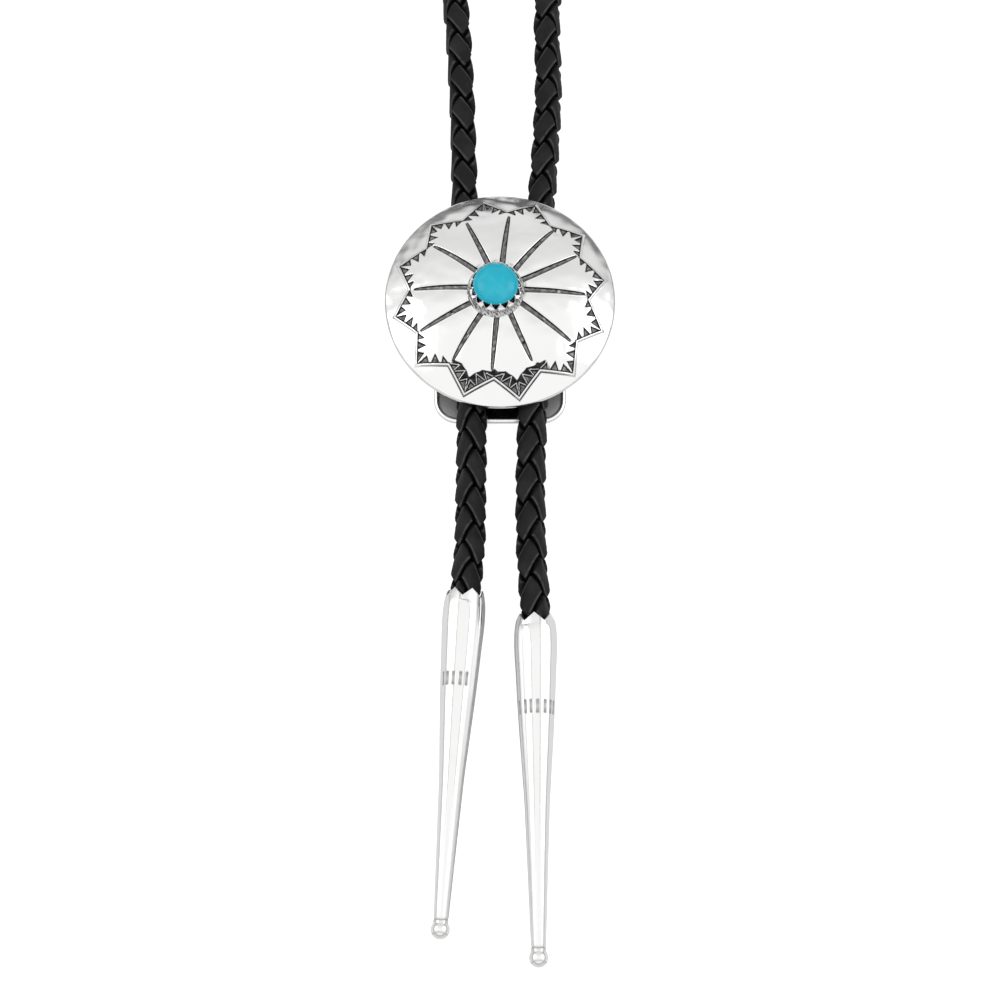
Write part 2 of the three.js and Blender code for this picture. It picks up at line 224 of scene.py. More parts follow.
@dataclass(frozen=True)
class PolishedSilver:
    """Bright silver, dark where a piece's points are painted, with real oxide and also with painted shade and
    painted dark reflections.
    """

    name: str
    polish: float
    dent_ratio: float = 0.0
    silver: Colour = (0.93, 0.927, 0.922)
    haze: Colour = (0.7, 0.7, 0.7)
    haze_range: Span = (0.35, 0.75)
    haze_share: float = 0.06
    oxide_and_shade: Colour = (0.018, 0.018, 0.019)
    oxide_range: Span = (0.02, 1.0)
    oxide_patches: Span = (0.72, 0.56)
    dullness: float = 0.5
    dull_range: Span = (0.1, 0.7)
    cloudiness: float = 0.05
    buffing: float = 0.12
    scratch_size: float = 0.0009
    scratch_share: float = 0.25
    oxide_scratch_share: float = 2.0
    cloud_size: float = 0.006
    dent_size: float = 0.0045
    relief: float = 0.00001

    def material(self) -> bpy.types.Material:
        """Makes the material.

        Returns:
            The material.
        """
        graph = Graph(bpy.data.materials.new(self.name))
        # The painted value holds real oxide and also painted shade and painted dark reflections; both darken
        # the silver.
        oxide_and_shade = graph.painted("oxide_and_shade")
        clouds = graph.noise(self.cloud_size, 2.0)
        scratches = graph.noise(self.scratch_size, 4.0, 0.65)
        least, spread = self.oxide_patches
        patchy = oxide_and_shade * (least + spread * scratches)
        tone = graph.mixed(clouds.stepped(*self.haze_range) * self.haze_share, self.silver, self.haze)
        dulled = self.dullness * oxide_and_shade.stepped(*self.dull_range)
        roughness = self.polish + self.cloudiness * clouds + dulled
        dents = self.dent_ratio * graph.noise(self.dent_size, 1.0)
        scratched = scratches * (self.scratch_share + self.oxide_scratch_share * oxide_and_shade)
        return graph.surface({
            "Base Color": graph.mixed(patchy.stepped(*self.oxide_range), tone, self.oxide_and_shade),
            "Metallic": 1.0,
            "Roughness": roughness - self.buffing * graph.painted("buffed"),
            "Normal": graph.bumped(scratched + dents, self.relief),
        })


@dataclass(frozen=True)
class SatinNickel:
    """Brushed nickel of the clasp, with fine lines along its length."""

    name: str = "satin_nickel"
    nickel: Colour = (0.78, 0.78, 0.78)
    worn: Colour = (0.5, 0.5, 0.505)
    worn_range: Span = (0.35, 0.7)
    worn_share: float = 0.6
    rim_highlight: Colour = (0.95, 0.95, 0.95)
    satin: float = 0.36
    cloudiness: float = 0.14
    cloud_size: float = 0.004
    polishing: float = 0.2
    line_width: float = 0.00012
    line_stretch: float = 0.03
    line_depth: float = 0.000006

    def material(self) -> bpy.types.Material:
        """Makes the material.

        Returns:
            The material.
        """
        graph = Graph(bpy.data.materials.new(self.name))
        stretched = graph.node(
            "ShaderNodeMapping", {}, {"Vector": graph.place(), "Scale": (1.0, self.line_stretch, 1.0)}
        )
        inputs = {"Vector": stretched, "Scale": 1 / self.line_width, "Detail": 3.0}
        lines = graph.node("ShaderNodeTexNoise", {}, inputs)
        clouds = graph.noise(self.cloud_size)
        polish_and_highlight = graph.painted("polish_and_highlight")
        satin = graph.mixed(clouds.stepped(*self.worn_range) * self.worn_share, self.nickel, self.worn)
        # On the rim the metal is polished and smoother, and its colour is lifted to near white as a painted
        # highlight.
        return graph.surface({
            "Base Color": graph.mixed(polish_and_highlight, satin, self.rim_highlight),
            "Metallic": 1.0,
            "Roughness": self.satin + self.cloudiness * clouds - self.polishing * polish_and_highlight,
            "Normal": graph.bumped(lines, self.line_depth),
        })


@dataclass(frozen=True)
class BlackRubber:
    """The clasp lever's black, finely pebbled coat."""

    name: str = "black_coat"
    black: Colour = (0.0012, 0.0012, 0.0012)
    worn: Colour = (0.006, 0.006, 0.006)
    worn_size: float = 0.002
    worn_range: Span = (0.4, 0.7)
    matt: float = 0.75
    matt_pebbles: float = 0.15
    pebble: float = 0.0003
    pebble_depth: float = 0.00006
    shine: float = 0.02

    def material(self) -> bpy.types.Material:
        """Makes the material.

        Returns:
            The material.
        """
        graph = Graph(bpy.data.materials.new(self.name))
        inputs = {"Vector": graph.place(), "Scale": 1 / self.pebble}
        pebbles = graph.node("ShaderNodeTexVoronoi", {}, inputs)
        worn = graph.noise(self.worn_size).stepped(*self.worn_range)
        return graph.surface({
            "Base Color": graph.mixed(worn, self.black, self.worn),
            "Roughness": self.matt + self.matt_pebbles * pebbles,
            "Specular IOR Level": self.shine,
            "Normal": graph.bumped(pebbles, self.pebble_depth),
        })


@dataclass(frozen=True)
class BlackLeather:
    """Dyed leather lacing, paler along its cut edges with a painted highlight there too, and painted
    near-black shade deep in the braid's gaps.
    """

    name: str = "black_leather"
    dye: Colour = (0.008, 0.008, 0.0082)
    faded: Colour = (0.018, 0.018, 0.0183)
    faded_size: float = 0.004
    faded_range: Span = (0.35, 0.75)
    shade: Colour = (0.0004, 0.0004, 0.0004)
    cut_edge_highlight: Colour = (0.075, 0.075, 0.076)
    patchy_edge_range: Span = (0.25, 0.6)
    shine: float = 0.16
    matt: float = 0.46
    matt_creases: float = 0.2
    matt_valleys: float = 0.3
    grain: float = 0.00028
    grain_share: float = 0.45
    crease: float = 0.0011
    crease_share: float = 0.55
    relief: float = 0.00007

    def material(self) -> bpy.types.Material:
        """Makes the material.

        Returns:
            The material.
        """
        graph = Graph(bpy.data.materials.new(self.name))
        grain = graph.node(
            "ShaderNodeTexVoronoi", {"feature": "SMOOTH_F1"},
            {"Vector": graph.place(), "Scale": 1 / self.grain},
        )
        creases = graph.noise(self.crease, 4.0, 0.6)
        faded = graph.noise(self.faded_size).stepped(*self.faded_range)
        # Paler broken line along the strips' cut edges: partly the leather's own paler edge, partly a painted
        # highlight where the edges catch the light.
        patchy_edge = graph.painted("cut_edge_highlight") * creases.stepped(*self.patchy_edge_range)
        worn = graph.mixed(patchy_edge, graph.mixed(faded, self.dye, self.faded), self.cut_edge_highlight)
        # Painted shade: near black where the strip dives deep between its neighbours.
        valley = graph.painted("valley")
        return graph.surface({
            "Base Color": graph.mixed(valley, worn, self.shade),
            "Roughness": self.matt + self.matt_creases * creases + self.matt_valleys * valley,
            "Specular IOR Level": self.shine,
            "Normal": graph.bumped(grain * self.grain_share + creases * self.crease_share, self.relief),
        })


@dataclass(frozen=True)
class Turquoise:
    """Even blue turquoise with faint clouds and a soft polish."""

    name: str = "turquoise"
    blue: Colour = (0.005, 0.42, 0.56)
    pale: Colour = (0.05, 0.51, 0.62)
    cloud_size: float = 0.0035
    cloud_range: Span = (0.4, 0.75)
    cloud_share: float = 0.6
    deep: Colour = (0.004, 0.36, 0.48)
    speck_size: float = 0.0007
    speck_range: Span = (0.58, 0.8)
    speck_share: float = 0.5
    girdle_shade: Colour = (0.004, 0.006, 0.007)
    polish: float = 0.2
    cloudiness: float = 0.08
    shine: float = 0.3
    glow_share: float = 0.08
    glow_reach: Colour = (0.4, 0.8, 1.0)
    glow_depth: float = 0.0008
    coat: float = 0.15
    coat_polish: float = 0.12
    relief: float = 0.00001

    def material(self) -> bpy.types.Material:
        """Makes the material.

        Returns:
            The material.
        """
        graph = Graph(bpy.data.materials.new(self.name))
        clouds = graph.noise(self.cloud_size, 4.0, 0.6)
        specks = graph.noise(self.speck_size, 3.0, 0.6).stepped(*self.speck_range)
        body = graph.mixed(clouds.stepped(*self.cloud_range) * self.cloud_share, self.blue, self.pale)
        speckled = graph.mixed(specks * self.speck_share, body, self.deep)
        return graph.surface({
            # Painted shade: the stone goes near black low on its wall, under the bezel's notches.
            "Base Color": graph.mixed(graph.painted("girdle_shade"), speckled, self.girdle_shade),
            "Roughness": self.polish + self.cloudiness * clouds,
            "Specular IOR Level": self.shine,
            "Subsurface Weight": self.glow_share,
            "Subsurface Radius": self.glow_reach,
            "Subsurface Scale": self.glow_depth,
            "Coat Weight": self.coat,
            "Coat Roughness": self.coat_polish,
            "Normal": graph.bumped(clouds, self.relief),
        })


@dataclass(frozen=True)
class PaleSurface:
    """The plain white surface that the tie lies on, bright to look at and softer in reflections."""

    name: str = "pale_surface"
    white: Colour = (0.5, 0.5, 0.5)
    grey: Colour = (0.48, 0.48, 0.48)
    grey_share: float = 0.03
    glow: Colour = (0.25, 0.25, 0.25)
    lit: Colour = (0.82, 0.82, 0.82)
    matt: float = 0.9
    tooth_size: float = 0.004
    tooth_depth: float = 0.00005

    def material(self) -> bpy.types.Material:
        """Makes the material.

        Returns:
            The material.
        """
        graph = Graph(bpy.data.materials.new(self.name))
        tooth = graph.noise(self.tooth_size)
        seen = graph.node("ShaderNodeLightPath", {}, {}, 0)
        return graph.surface({
            "Base Color": graph.mixed(tooth * self.grey_share, self.white, self.grey),
            "Roughness": self.matt,
            "Emission Color": graph.mixed(seen, self.glow, self.lit),
            "Emission Strength": 1.0,
            "Normal": graph.bumped(tooth, self.tooth_depth),
        })


def soft_step(value: np.ndarray, low: float, high: float) -> np.ndarray:
    """A smooth step.

    Args:
        value: What is stepped.
        low: Where it starts to rise from 0.
        high: Where it reaches 1.

    Returns:
        The stepped value.
    """
    share = np.clip((value - low) / (high - low), 0.0, 1.0)
    return share * share * (3.0 - 2.0 * share)


def ripples(x: np.ndarray, y: np.ndarray, size: float, seed: int, waves: int = 9) -> np.ndarray:
    """Soft irregular hollows, as a hammer leaves them.

    Args:
        x: One coordinate.
        y: The other.
        size: The width of a hollow.
        seed: The pattern's seed.
        waves: How many waves it is summed from.

    Returns:
        Heights, mostly between -1 and 1.
    """
    draw = np.random.default_rng(seed)
    total = np.zeros_like(x)
    for _ in range(waves):
        turn, phase = draw.uniform(0.0, 2 * math.pi, 2)
        pace = 2 * math.pi / (size * draw.uniform(0.8, 2.2))
        total += np.sin((x * math.cos(turn) + y * math.sin(turn)) * pace + phase)
    return total / math.sqrt(waves)


class Bench:
    """The hand tools that the pieces are modelled with."""

    SPIN_PARTS = 12
    SEED_SIZE = 0.001
    WELD = 0.000002

    @staticmethod
    def start(name: str, edit: bool = True) -> bpy.types.Object:
        """Names the primitive that was just added.

        Args:
            name: The piece's name.
            edit: Whether edit mode is entered.

        Returns:
            The piece.
        """
        piece = bpy.context.active_object
        piece.name = piece.data.name = name
        if edit:
            bpy.ops.object.mode_set(mode="EDIT")
        return piece

    @staticmethod
    def done(piece: bpy.types.Object, smooth_angle: float | None = None) -> bpy.types.Object:
        """Leaves edit mode, puts the piece's place in its mesh and smooths its faces.

        Args:
            piece: The piece.
            smooth_angle: Edges sharper than this stay sharp, in degrees. None smooths all.

        Returns:
            The piece.
        """
        if bpy.context.mode != "OBJECT":
            bpy.ops.object.mode_set(mode="OBJECT")
        bpy.ops.object.select_all(action="DESELECT")
        piece.select_set(True)
        bpy.context.view_layer.objects.active = piece
        bpy.ops.object.transform_apply(location=True, rotation=True, scale=True)
        if smooth_angle is None:
            bpy.ops.object.shade_smooth()
        else:
            bpy.ops.object.shade_smooth_by_angle(angle=math.radians(smooth_angle))
        return piece

    @classmethod
    def spun(cls, name: str, profile: Profile, steps: int) -> bpy.types.Object:
        """Draws a profile point by point and spins it round the upright axis.

        Args:
            name: The piece's name.
            profile: Radius and height of each point, in order.
            steps: How many steps a full turn has, a whole number of them in each part.

        Returns:
            The closed piece.
        """
        bpy.ops.object.select_all(action="DESELECT")
        bpy.ops.mesh.primitive_plane_add(size=cls.SEED_SIZE, location=(0.0, 0.0, 0.0))
        piece = cls.start(name)
        bpy.ops.mesh.merge(type="CENTER")
        first = (profile[0][0], 0.0, profile[0][1])
        bpy.ops.transform.translate(value=first)
        for (radius, height), (next_radius, next_height) in pairwise(profile):
            stride = (next_radius - radius, 0.0, next_height - height)
            bpy.ops.mesh.extrude_vertices_move(TRANSFORM_OT_translate={"value": stride})
        bpy.ops.mesh.select_all(action="SELECT")
        part = 2 * math.pi / cls.SPIN_PARTS
        bpy.ops.mesh.spin(
            steps=steps // cls.SPIN_PARTS, angle=part, center=(0.0, 0.0, 0.0), axis=(0.0, 0.0, 1.0)
        )
        bpy.ops.mesh.select_all(action="SELECT")
        for _ in range(1, cls.SPIN_PARTS):
            bpy.ops.mesh.duplicate()
            bpy.ops.transform.rotate(value=part, orient_axis="Z", center_override=(0.0, 0.0, 0.0))
        bpy.ops.mesh.select_all(action="SELECT")
        bpy.ops.mesh.remove_doubles(threshold=cls.WELD)
        bpy.ops.mesh.normals_make_consistent(inside=False)
        return cls.done(piece)

    @staticmethod
    def points(piece: bpy.types.Object) -> np.ndarray:
        """The piece's points, one row each."""
        flat = np.empty(3 * len(piece.data.vertices))
        piece.data.vertices.foreach_get("co", flat)
        return flat.reshape(-1, 3)

    @classmethod
    def shape(cls, piece: bpy.types.Object, shaping: Shaping) -> None:
        """Moves the piece's points.

        Args:
            piece: The piece.
            shaping: Gives the new points from the old ones.
        """
        moved = shaping(cls.points(piece))
        piece.data.vertices.foreach_set("co", moved.ravel())
        piece.data.update()

    @staticmethod
    def paint(piece: bpy.types.Object, name: str, values: np.ndarray) -> None:
        """Paints a value on the piece's points.

        Args:
            piece: The piece.
            name: The name that the finish reads it by.
            values: One value for each point.
        """
        layer = piece.data.attributes.new(name, "FLOAT", "POINT")
        layer.data.foreach_set("value", values.astype(np.float32))

    @staticmethod
    def lofted(name: str, rings: np.ndarray) -> bpy.types.Object:
        """Skins closed rings into one closed tube.

        Args:
            name: The piece's name.
            rings: Points as (ring, point, coordinate).

        Returns:
            The piece.
        """
        count, sides, _ = rings.shape
        index = np.arange(count * sides).reshape(count, sides)
        turned = np.roll(index, -1, axis=1)
        quads = np.stack([index[:-1], turned[:-1], turned[1:], index[1:]], axis=-1)
        faces = [tuple(face) for face in quads.reshape(-1, 4).tolist()]
        faces.append(tuple(reversed(index[0].tolist())))
        faces.append(tuple(index[-1].tolist()))
        mesh = bpy.data.meshes.new(name)
        mesh.from_pydata(rings.reshape(-1, 3).tolist(), [], faces)
        piece = bpy.data.objects.new(name, mesh)
        bpy.context.scene.collection.objects.link(piece)
        mesh.shade_smooth()
        return piece


def fit(
    piece: bpy.types.Object, node: str, material: bpy.types.Material
) -> bpy.types.Object:
    """Dresses a finished piece and puts it in the place of a solid of the model.

    Args:
        piece: The piece.
        node: The solid that it stands for.
        material: Its material.

    Returns:
        The piece.
    """
    piece.data.materials.clear()
    piece.data.materials.append(material)
    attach(piece, "root")
    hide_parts(node)
    LOG.info("%s: %d faces", piece.name, len(piece.data.polygons))
    return piece


class Side(Enum):
    """The two tips, by where they lie in the view."""

    LEFT = "left_tip"
    RIGHT = "right_tip"


@dataclass
class TipAxis:
    """Where a tip's mouth lies and how the tip points away from it."""

    mouth: Point
    yaw: float
    sink: float = 2.49

    def down(self) -> Vector:
        """The direction from the mouth to the ball.

        Returns:
            A unit vector.
        """
        yaw, sink = math.radians(self.yaw), math.radians(self.sink)
        level = Vector((math.sin(yaw), -math.cos(yaw), 0.0))
        return level * math.cos(sink) - Vector((0.0, 0.0, math.sin(sink)))

    def matrix(self) -> Matrix:
        """Stands a body made about +Z on the axis, with its back towards the surface.

        Returns:
            The matrix.
        """
        up = -self.down()
        across = Vector((0.0, 0.0, 1.0)).cross(up).normalized()
        out = up.cross(across)
        basis = Matrix((across, out, up)).transposed().to_4x4()
        return Matrix.Translation(self.mouth) @ basis


TIP_AXES = {
    Side.LEFT: TipAxis(mouth=(-0.0063, -0.05615, 0.00437), yaw=-3.89),
    Side.RIGHT: TipAxis(mouth=(0.00651, -0.0608, 0.00437), yaw=0.22),
}

CORD_ROUTE = [
    (-0.00565, -0.048, 0.00385),
    (-0.0055, -0.038, 0.00395),
    (-0.0054, -0.028, 0.00435),
    (-0.0055, -0.019, 0.0045),
    (-0.0059, -0.006, 0.0045),
    (-0.0064, 0.007, 0.00445),
    (-0.0070, 0.021, 0.00375),
    (-0.0073, 0.034, 0.0032),
    (-0.0079, 0.05, 0.00302),
    (-0.0094, 0.071, 0.003),
    (-0.0135, 0.098, 0.003),
    (-0.027, 0.135, 0.003),
    (-0.048, 0.177, 0.003),
    (-0.069, 0.223, 0.003),
    (-0.0785, 0.269, 0.003),
    (-0.0695, 0.312, 0.003),
    (-0.0405, 0.342, 0.003),
    (0.002, 0.352, 0.003),
    (0.043, 0.3395, 0.003),
    (0.071, 0.3085, 0.003),
    (0.0795, 0.2655, 0.003),
    (0.0705, 0.2205, 0.003),
    (0.0495, 0.1755, 0.003),
    (0.0285, 0.135, 0.003),
    (0.0145, 0.098, 0.003),
    (0.01, 0.071, 0.003),
    (0.0099, 0.05, 0.00302),
    (0.0092, 0.036, 0.0032),
    (0.0081, 0.021, 0.00375),
    (0.0074, 0.007, 0.00445),
    (0.0069, -0.006, 0.0045),
    (0.0063, -0.019, 0.0045),
    (0.006, -0.028, 0.00435),
    (0.00575, -0.038, 0.00395),
    (0.0059, -0.05, 0.00385),
]


@dataclass
class CordRoute:
    """The cord's middle line: one smooth curve from inside one tip to inside the other."""

    points: Sequence[Point]
    seat_depth: float = 0.012
    span_steps: int = 60

    def through(self) -> list[np.ndarray]:
        """The points that the line goes through, with those in the tips.

        Returns:
            The points in order.
        """
        left, right = TIP_AXES[Side.LEFT], TIP_AXES[Side.RIGHT]
        seats = [np.array(Vector(tip.mouth) + tip.down() * self.seat_depth) for tip in (left, right)]
        route = [np.array(point) for point in self.points]
        return [seats[0], np.array(left.mouth), *route, np.array(right.mouth), seats[1]]

    def dense(self) -> np.ndarray:
        """The centripetal Catmull-Rom curve through the points.

        Returns:
            Many points along it.
        """
        knots = self.through()
        knots = [2 * knots[0] - knots[1], *knots, 2 * knots[-1] - knots[-2]]
        line = []
        for a, b, c, d in zip(knots, knots[1:], knots[2:], knots[3:]):
            before, here, after = (math.sqrt(np.linalg.norm(q - p)) for p, q in ((a, b), (b, c), (c, d)))
            leave = ((b - a) / before - (c - a) / (before + here) + (c - b) / here) * here
            arrive = ((c - b) / here - (d - b) / (here + after) + (d - c) / after) * here
            t = np.linspace(0.0, 1.0, self.span_steps, endpoint=False)[:, None]
            cubic = 2 * b - 2 * c + leave + arrive
            square = 3 * c - 3 * b - 2 * leave - arrive
            line.append(b + leave * t + square * t**2 + cubic * t**3)
        line.append(knots[-2][None, :])
        return np.concatenate(line)

    def even(self, step: float) -> tuple[np.ndarray, np.ndarray]:
        """The line at even strides.

        Args:
            step: About the length of a stride.

        Returns:
            The points, and each one's distance along the line.
        """
        dense = self.dense()
        along = np.concatenate([[0.0], np.cumsum(np.linalg.norm(np.diff(dense, axis=0), axis=1))])
        distance = np.linspace(0.0, along[-1], round(along[-1] / step) + 1)
        points = np.stack([np.interp(distance, along, dense[:, axis]) for axis in range(3)], axis=1)
        return points, distance


class Hand(Enum):
    """Which way a strand winds round the cord, going up from the left tip."""

    RISING = 1
    FALLING = -1


class Run(Enum):
    """The stretches of the cord that the view shows, by the tip that they belong to."""

    LOWER_LEFT = 1
    UPPER_LEFT = 2
    UPPER_RIGHT = 3
    LOWER_RIGHT = 4


@dataclass
class BraidMark:
    """A place where one strand's face is centred on the cord."""

    run: Run
    y: float
    hand: Hand
    turn: float


@dataclass
class StripPoint:
    """One point of a strip's section, as shares of its half width and of its thickness."""

    across: float
    depth: float


@dataclass
class BraidedCord:
    """Four flat leather strands braided into a cord with four flats and rounded corners.

    Way round the cord is measured along its rounded square, from the middle of the first flat.
    """

    route: CordRoute
    pitch: float = 0.01485
    flat: float = 0.00252
    corner: float = 0.0014
    strip_width: float = 0.00405
    strip_thickness: float = 0.0015
    slant: float = 37.0
    under: float = 0.00112
    quicken: float = 44.0
    dive_start: float = 51.0
    dive_end: float = 67.0
    swell: float = 0.1
    core: float = 0.04
    hurry_power: float = 1.5
    steady_reach: float = 0.035
    shown_reach: float = 0.12
    shade_depths: Span = (0.00026, 0.00048)
    edge_depths: Span = (0.0001, 0.0004)
    edge_point: int = 3
    edge_reach: float = 0.001
    pinch: float = 0.9
    pinch_length: float = 0.0022
    rest_height: float = 0.003
    lifted: Span = (0.0031, 0.0037)
    steps_per_turn: int = 56
    section: tuple[StripPoint, ...] = (
        StripPoint(0.0, -0.04), StripPoint(0.36, 0.0), StripPoint(0.7, 0.07), StripPoint(0.91, 0.15),
        StripPoint(0.975, 0.27), StripPoint(1.0, 0.45), StripPoint(0.93, 0.8), StripPoint(0.6, 1.0),
    )
    marks: tuple[BraidMark, ...] = (
        BraidMark(Run.LOWER_LEFT, -0.0371, Hand.RISING, -50.0),
        BraidMark(Run.UPPER_LEFT, 0.0356, Hand.FALLING, -85.0),
        BraidMark(Run.UPPER_RIGHT, 0.0397, Hand.RISING, 20.0),
        BraidMark(Run.LOWER_RIGHT, -0.0362, Hand.RISING, 28.0),
    )

    def quarter(self) -> float:
        """The way from the middle of one flat to the middle of the next."""
        return 2 * (self.flat - self.corner) + self.corner * math.pi / 2

    def place_of(self, mark: BraidMark, points: np.ndarray, distance: np.ndarray) -> float:
        """Distance along the cord of a mark.

        Args:
            mark: The mark.
            points: The cord's points.
            distance: Each one's distance along the cord.

        Returns:
            The distance.
        """
        half = distance[-1] / 2
        left = mark.run in (Run.LOWER_LEFT, Run.UPPER_LEFT)
        near = (distance < half) if left else (distance >= half)
        near &= points[:, 1] < self.shown_reach
        off = np.where(near, np.abs(points[:, 1] - mark.y), np.inf)
        return float(distance[np.argmin(off)])

    def phases(self, points: np.ndarray, distance: np.ndarray) -> tuple[np.ndarray, np.ndarray]:
        """How far the strands have wound, and how far the whole braid has turned.

        Args:
            points: The cord's points.
            distance: Each one's distance along the cord.

        Returns:
            The winding and the turn at each point, in radians.
        """
        places, winds, turns = [], [], []
        for mark in self.marks:
            place = self.place_of(mark, points, distance)
            face = 0.0 if mark.hand is Hand.RISING else math.pi / 2
            wind = face
            if winds:
                wanted = winds[-1] + 2 * math.pi * (place - places[-1]) / self.pitch
                wind = face + math.pi * round((wanted - face) / math.pi)
            places.append(place)
            winds.append(wind)
            turns.append(math.radians(mark.turn))
        keep = self.steady_reach
        nodes, values = [], []
        for place, wind in zip(places, winds):
            nodes += [place - keep, place + keep]
            values += [wind - 2 * math.pi * keep / self.pitch, wind + 2 * math.pi * keep / self.pitch]
        winding = np.interp(distance, nodes, values)
        pace = 2 * math.pi / self.pitch
        winding += np.minimum(distance - nodes[0], 0.0) * pace
        winding += np.maximum(distance - nodes[-1], 0.0) * pace
        return winding, np.interp(distance, places, turns)

    def course(self, winding: np.ndarray) -> tuple[np.ndarray, np.ndarray]:
        """Where a strand lies, by how far it has wound from the middle of one of its faces.

        It crosses each flat straight and on top, then quickens and dives under its neighbour.

        Args:
            winding: The winding, in radians.

        Returns:
            The way round the cord, and the depth below its surface.
        """
        faces = np.round(winding / math.pi)
        local = winding - faces * math.pi
        off = np.degrees(np.abs(local))
        steady = math.tan(math.radians(self.slant)) * self.pitch / (2 * math.pi)
        hurry = (self.quarter() - steady * math.pi / 2) * (
            np.clip((off - self.quicken) / (90 - self.quicken), 0.0, 1.0) ** self.hurry_power
        )
        way = 2 * self.quarter() * faces + steady * local + np.sign(local) * hurry
        return way, self.under * soft_step(off, self.dive_start, self.dive_end)

    def outline(self, way: np.ndarray) -> tuple[np.ndarray, np.ndarray]:
        """Points of the cord's rounded square.

        Args:
            way: The way round it.

        Returns:
            Both coordinates of each point, the first one out of the first flat.
        """
        side = np.round(way / self.quarter())
        local = way - side * self.quarter()
        straight = self.flat - self.corner
        past = np.maximum(np.abs(local) - straight, 0.0) / self.corner
        out = self.flat - self.corner * (1 - np.cos(past))
        along = np.sign(local) * (np.minimum(np.abs(local), straight) + self.corner * np.sin(past))
        turn = side * math.pi / 2
        return out * np.cos(turn) - along * np.sin(turn), out * np.sin(turn) + along * np.cos(turn)

    def ring(self, hand: Hand) -> tuple[np.ndarray, np.ndarray]:
        """The strip's section, once round.

        Args:
            hand: Which way the strand winds.

        Returns:
            How far each point lies across the strip, and how deep.
        """
        right = [(point.across, point.depth) for point in self.section]
        left = [(-across, depth) for across, depth in right[:0:-1]]
        across, depth = np.array(right + left).T
        order = hand.value
        return across[::order] * self.strip_width / 2, depth[::order] * self.strip_thickness

    def strand(self, name: str, hand: Hand, half_turn: int) -> bpy.types.Object:
        """Models one strand, with each ring of its section along its neighbours' direction.

        Args:
            name: Its name.
            hand: Which way it winds.
            half_turn: 0, or 1 for the strand on the other side of the cord.

        Returns:
            The strand.
        """
        points, distance = self.route.even(self.pitch / self.steps_per_turn)
        heading = np.gradient(points, axis=0)
        heading /= np.linalg.norm(heading, axis=1, keepdims=True)
        upright = np.array([0.0, 0.0, 1.0]) - heading * heading[:, 2:3]
        upright /= np.linalg.norm(upright, axis=1, keepdims=True)
        sideways = np.cross(heading, upright)
        winding, turn = self.phases(points, distance)
        points = points - upright * self.sag(points, turn)[:, None]

        across, deep = self.ring(hand)
        slant = math.radians(self.slant)
        shift = across / math.sin(2 * slant)
        spare = float(np.max(np.abs(shift))) * math.cos(slant)
        kept = (distance > spare) & (distance < distance[-1] - spare)
        own = 0.0 if hand is Hand.RISING else math.pi / 2
        way, depth = self.course(winding[kept] - own + half_turn * math.pi)
        shift = shift * (1 - self.swell * depth / self.under)[:, None]
        way = hand.value * (way + own / (math.pi / 2) * self.quarter())
        way = way[:, None] - hand.value * math.sin(slant) * shift
        place = distance[kept][:, None] + math.cos(slant) * shift
        total = depth[:, None] + deep
        scale = np.maximum(1 - total / self.flat, self.core) * self.squeeze(place, distance[-1])
        x, y = self.outline(way)
        twist = np.interp(place, distance, turn)
        out = (x * np.cos(twist) - y * np.sin(twist)) * scale
        side = (x * np.sin(twist) + y * np.cos(twist)) * scale
        rings = np.stack([
            np.interp(place, distance, points[:, axis])
            + np.interp(place, distance, upright[:, axis]) * out
            + np.interp(place, distance, sideways[:, axis]) * side
            for axis in range(3)
        ], axis=-1)
        piece = Bench.lofted(name, rings)
        # Painted shade: the strip goes near black where it lies deep in the braid.
        Bench.paint(piece, "valley", soft_step(total, *self.shade_depths).ravel())
        # Pale cut edge with a painted highlight, only where the strip lies on top.
        outward = np.abs(across) / (self.strip_width / 2)
        cut = np.abs(outward - self.section[self.edge_point].across) < self.edge_reach
        on_top = 1 - soft_step(depth, *self.edge_depths)
        Bench.paint(piece, "cut_edge_highlight", (cut * on_top[:, None]).ravel())
        return piece

    def sag(self, points: np.ndarray, turn: np.ndarray) -> np.ndarray:
        """How much the cord settles onto the surface where one of its flats lies below.

        Args:
            points: The cord's points.
            turn: How far the braid has turned at each.

        Returns:
            The distances.
        """
        straight = self.flat - self.corner
        reach = straight * (np.abs(np.cos(turn)) + np.abs(np.sin(turn))) + self.corner
        return (self.rest_height - reach) * (1 - soft_step(points[:, 2], *self.lifted))

    def squeeze(self, place: np.ndarray, length: float) -> np.ndarray:
        """How much the tips narrow the cord.

        Args:
            place: Distances along the cord.
            length: The cord's length.

        Returns:
            The share of the full diameter that is left.
        """
        from_end = np.minimum(place, length - place)
        seat = self.route.seat_depth
        return self.pinch + (1 - self.pinch) * soft_step(from_end, seat - self.pinch_length, seat)

    def build(self, leather: bpy.types.Material) -> None:
        """Makes the four strands.

        Args:
            leather: Their material.
        """
        for hand in Hand:
            for half_turn in (0, 1):
                name = f"strand_{hand.name.lower()}_{half_turn + 1}"
                fit(self.strand(name, hand, half_turn), "braided_cord", leather)


@dataclass
class StampTooth:
    """One triangle of the star's border, as shares of a side from the star's outer corner."""

    start: float
    end: float
    point: float
    height: float


@dataclass
class Corner:
    """One corner of the star, a petal's point or the valley before a groove."""

    turn: float
    reach: float


@dataclass
class Groove:
    """A groove between two petals: its direction at either end, in degrees, and its reach."""

    turn_in: float
    turn_out: float
    reach: float


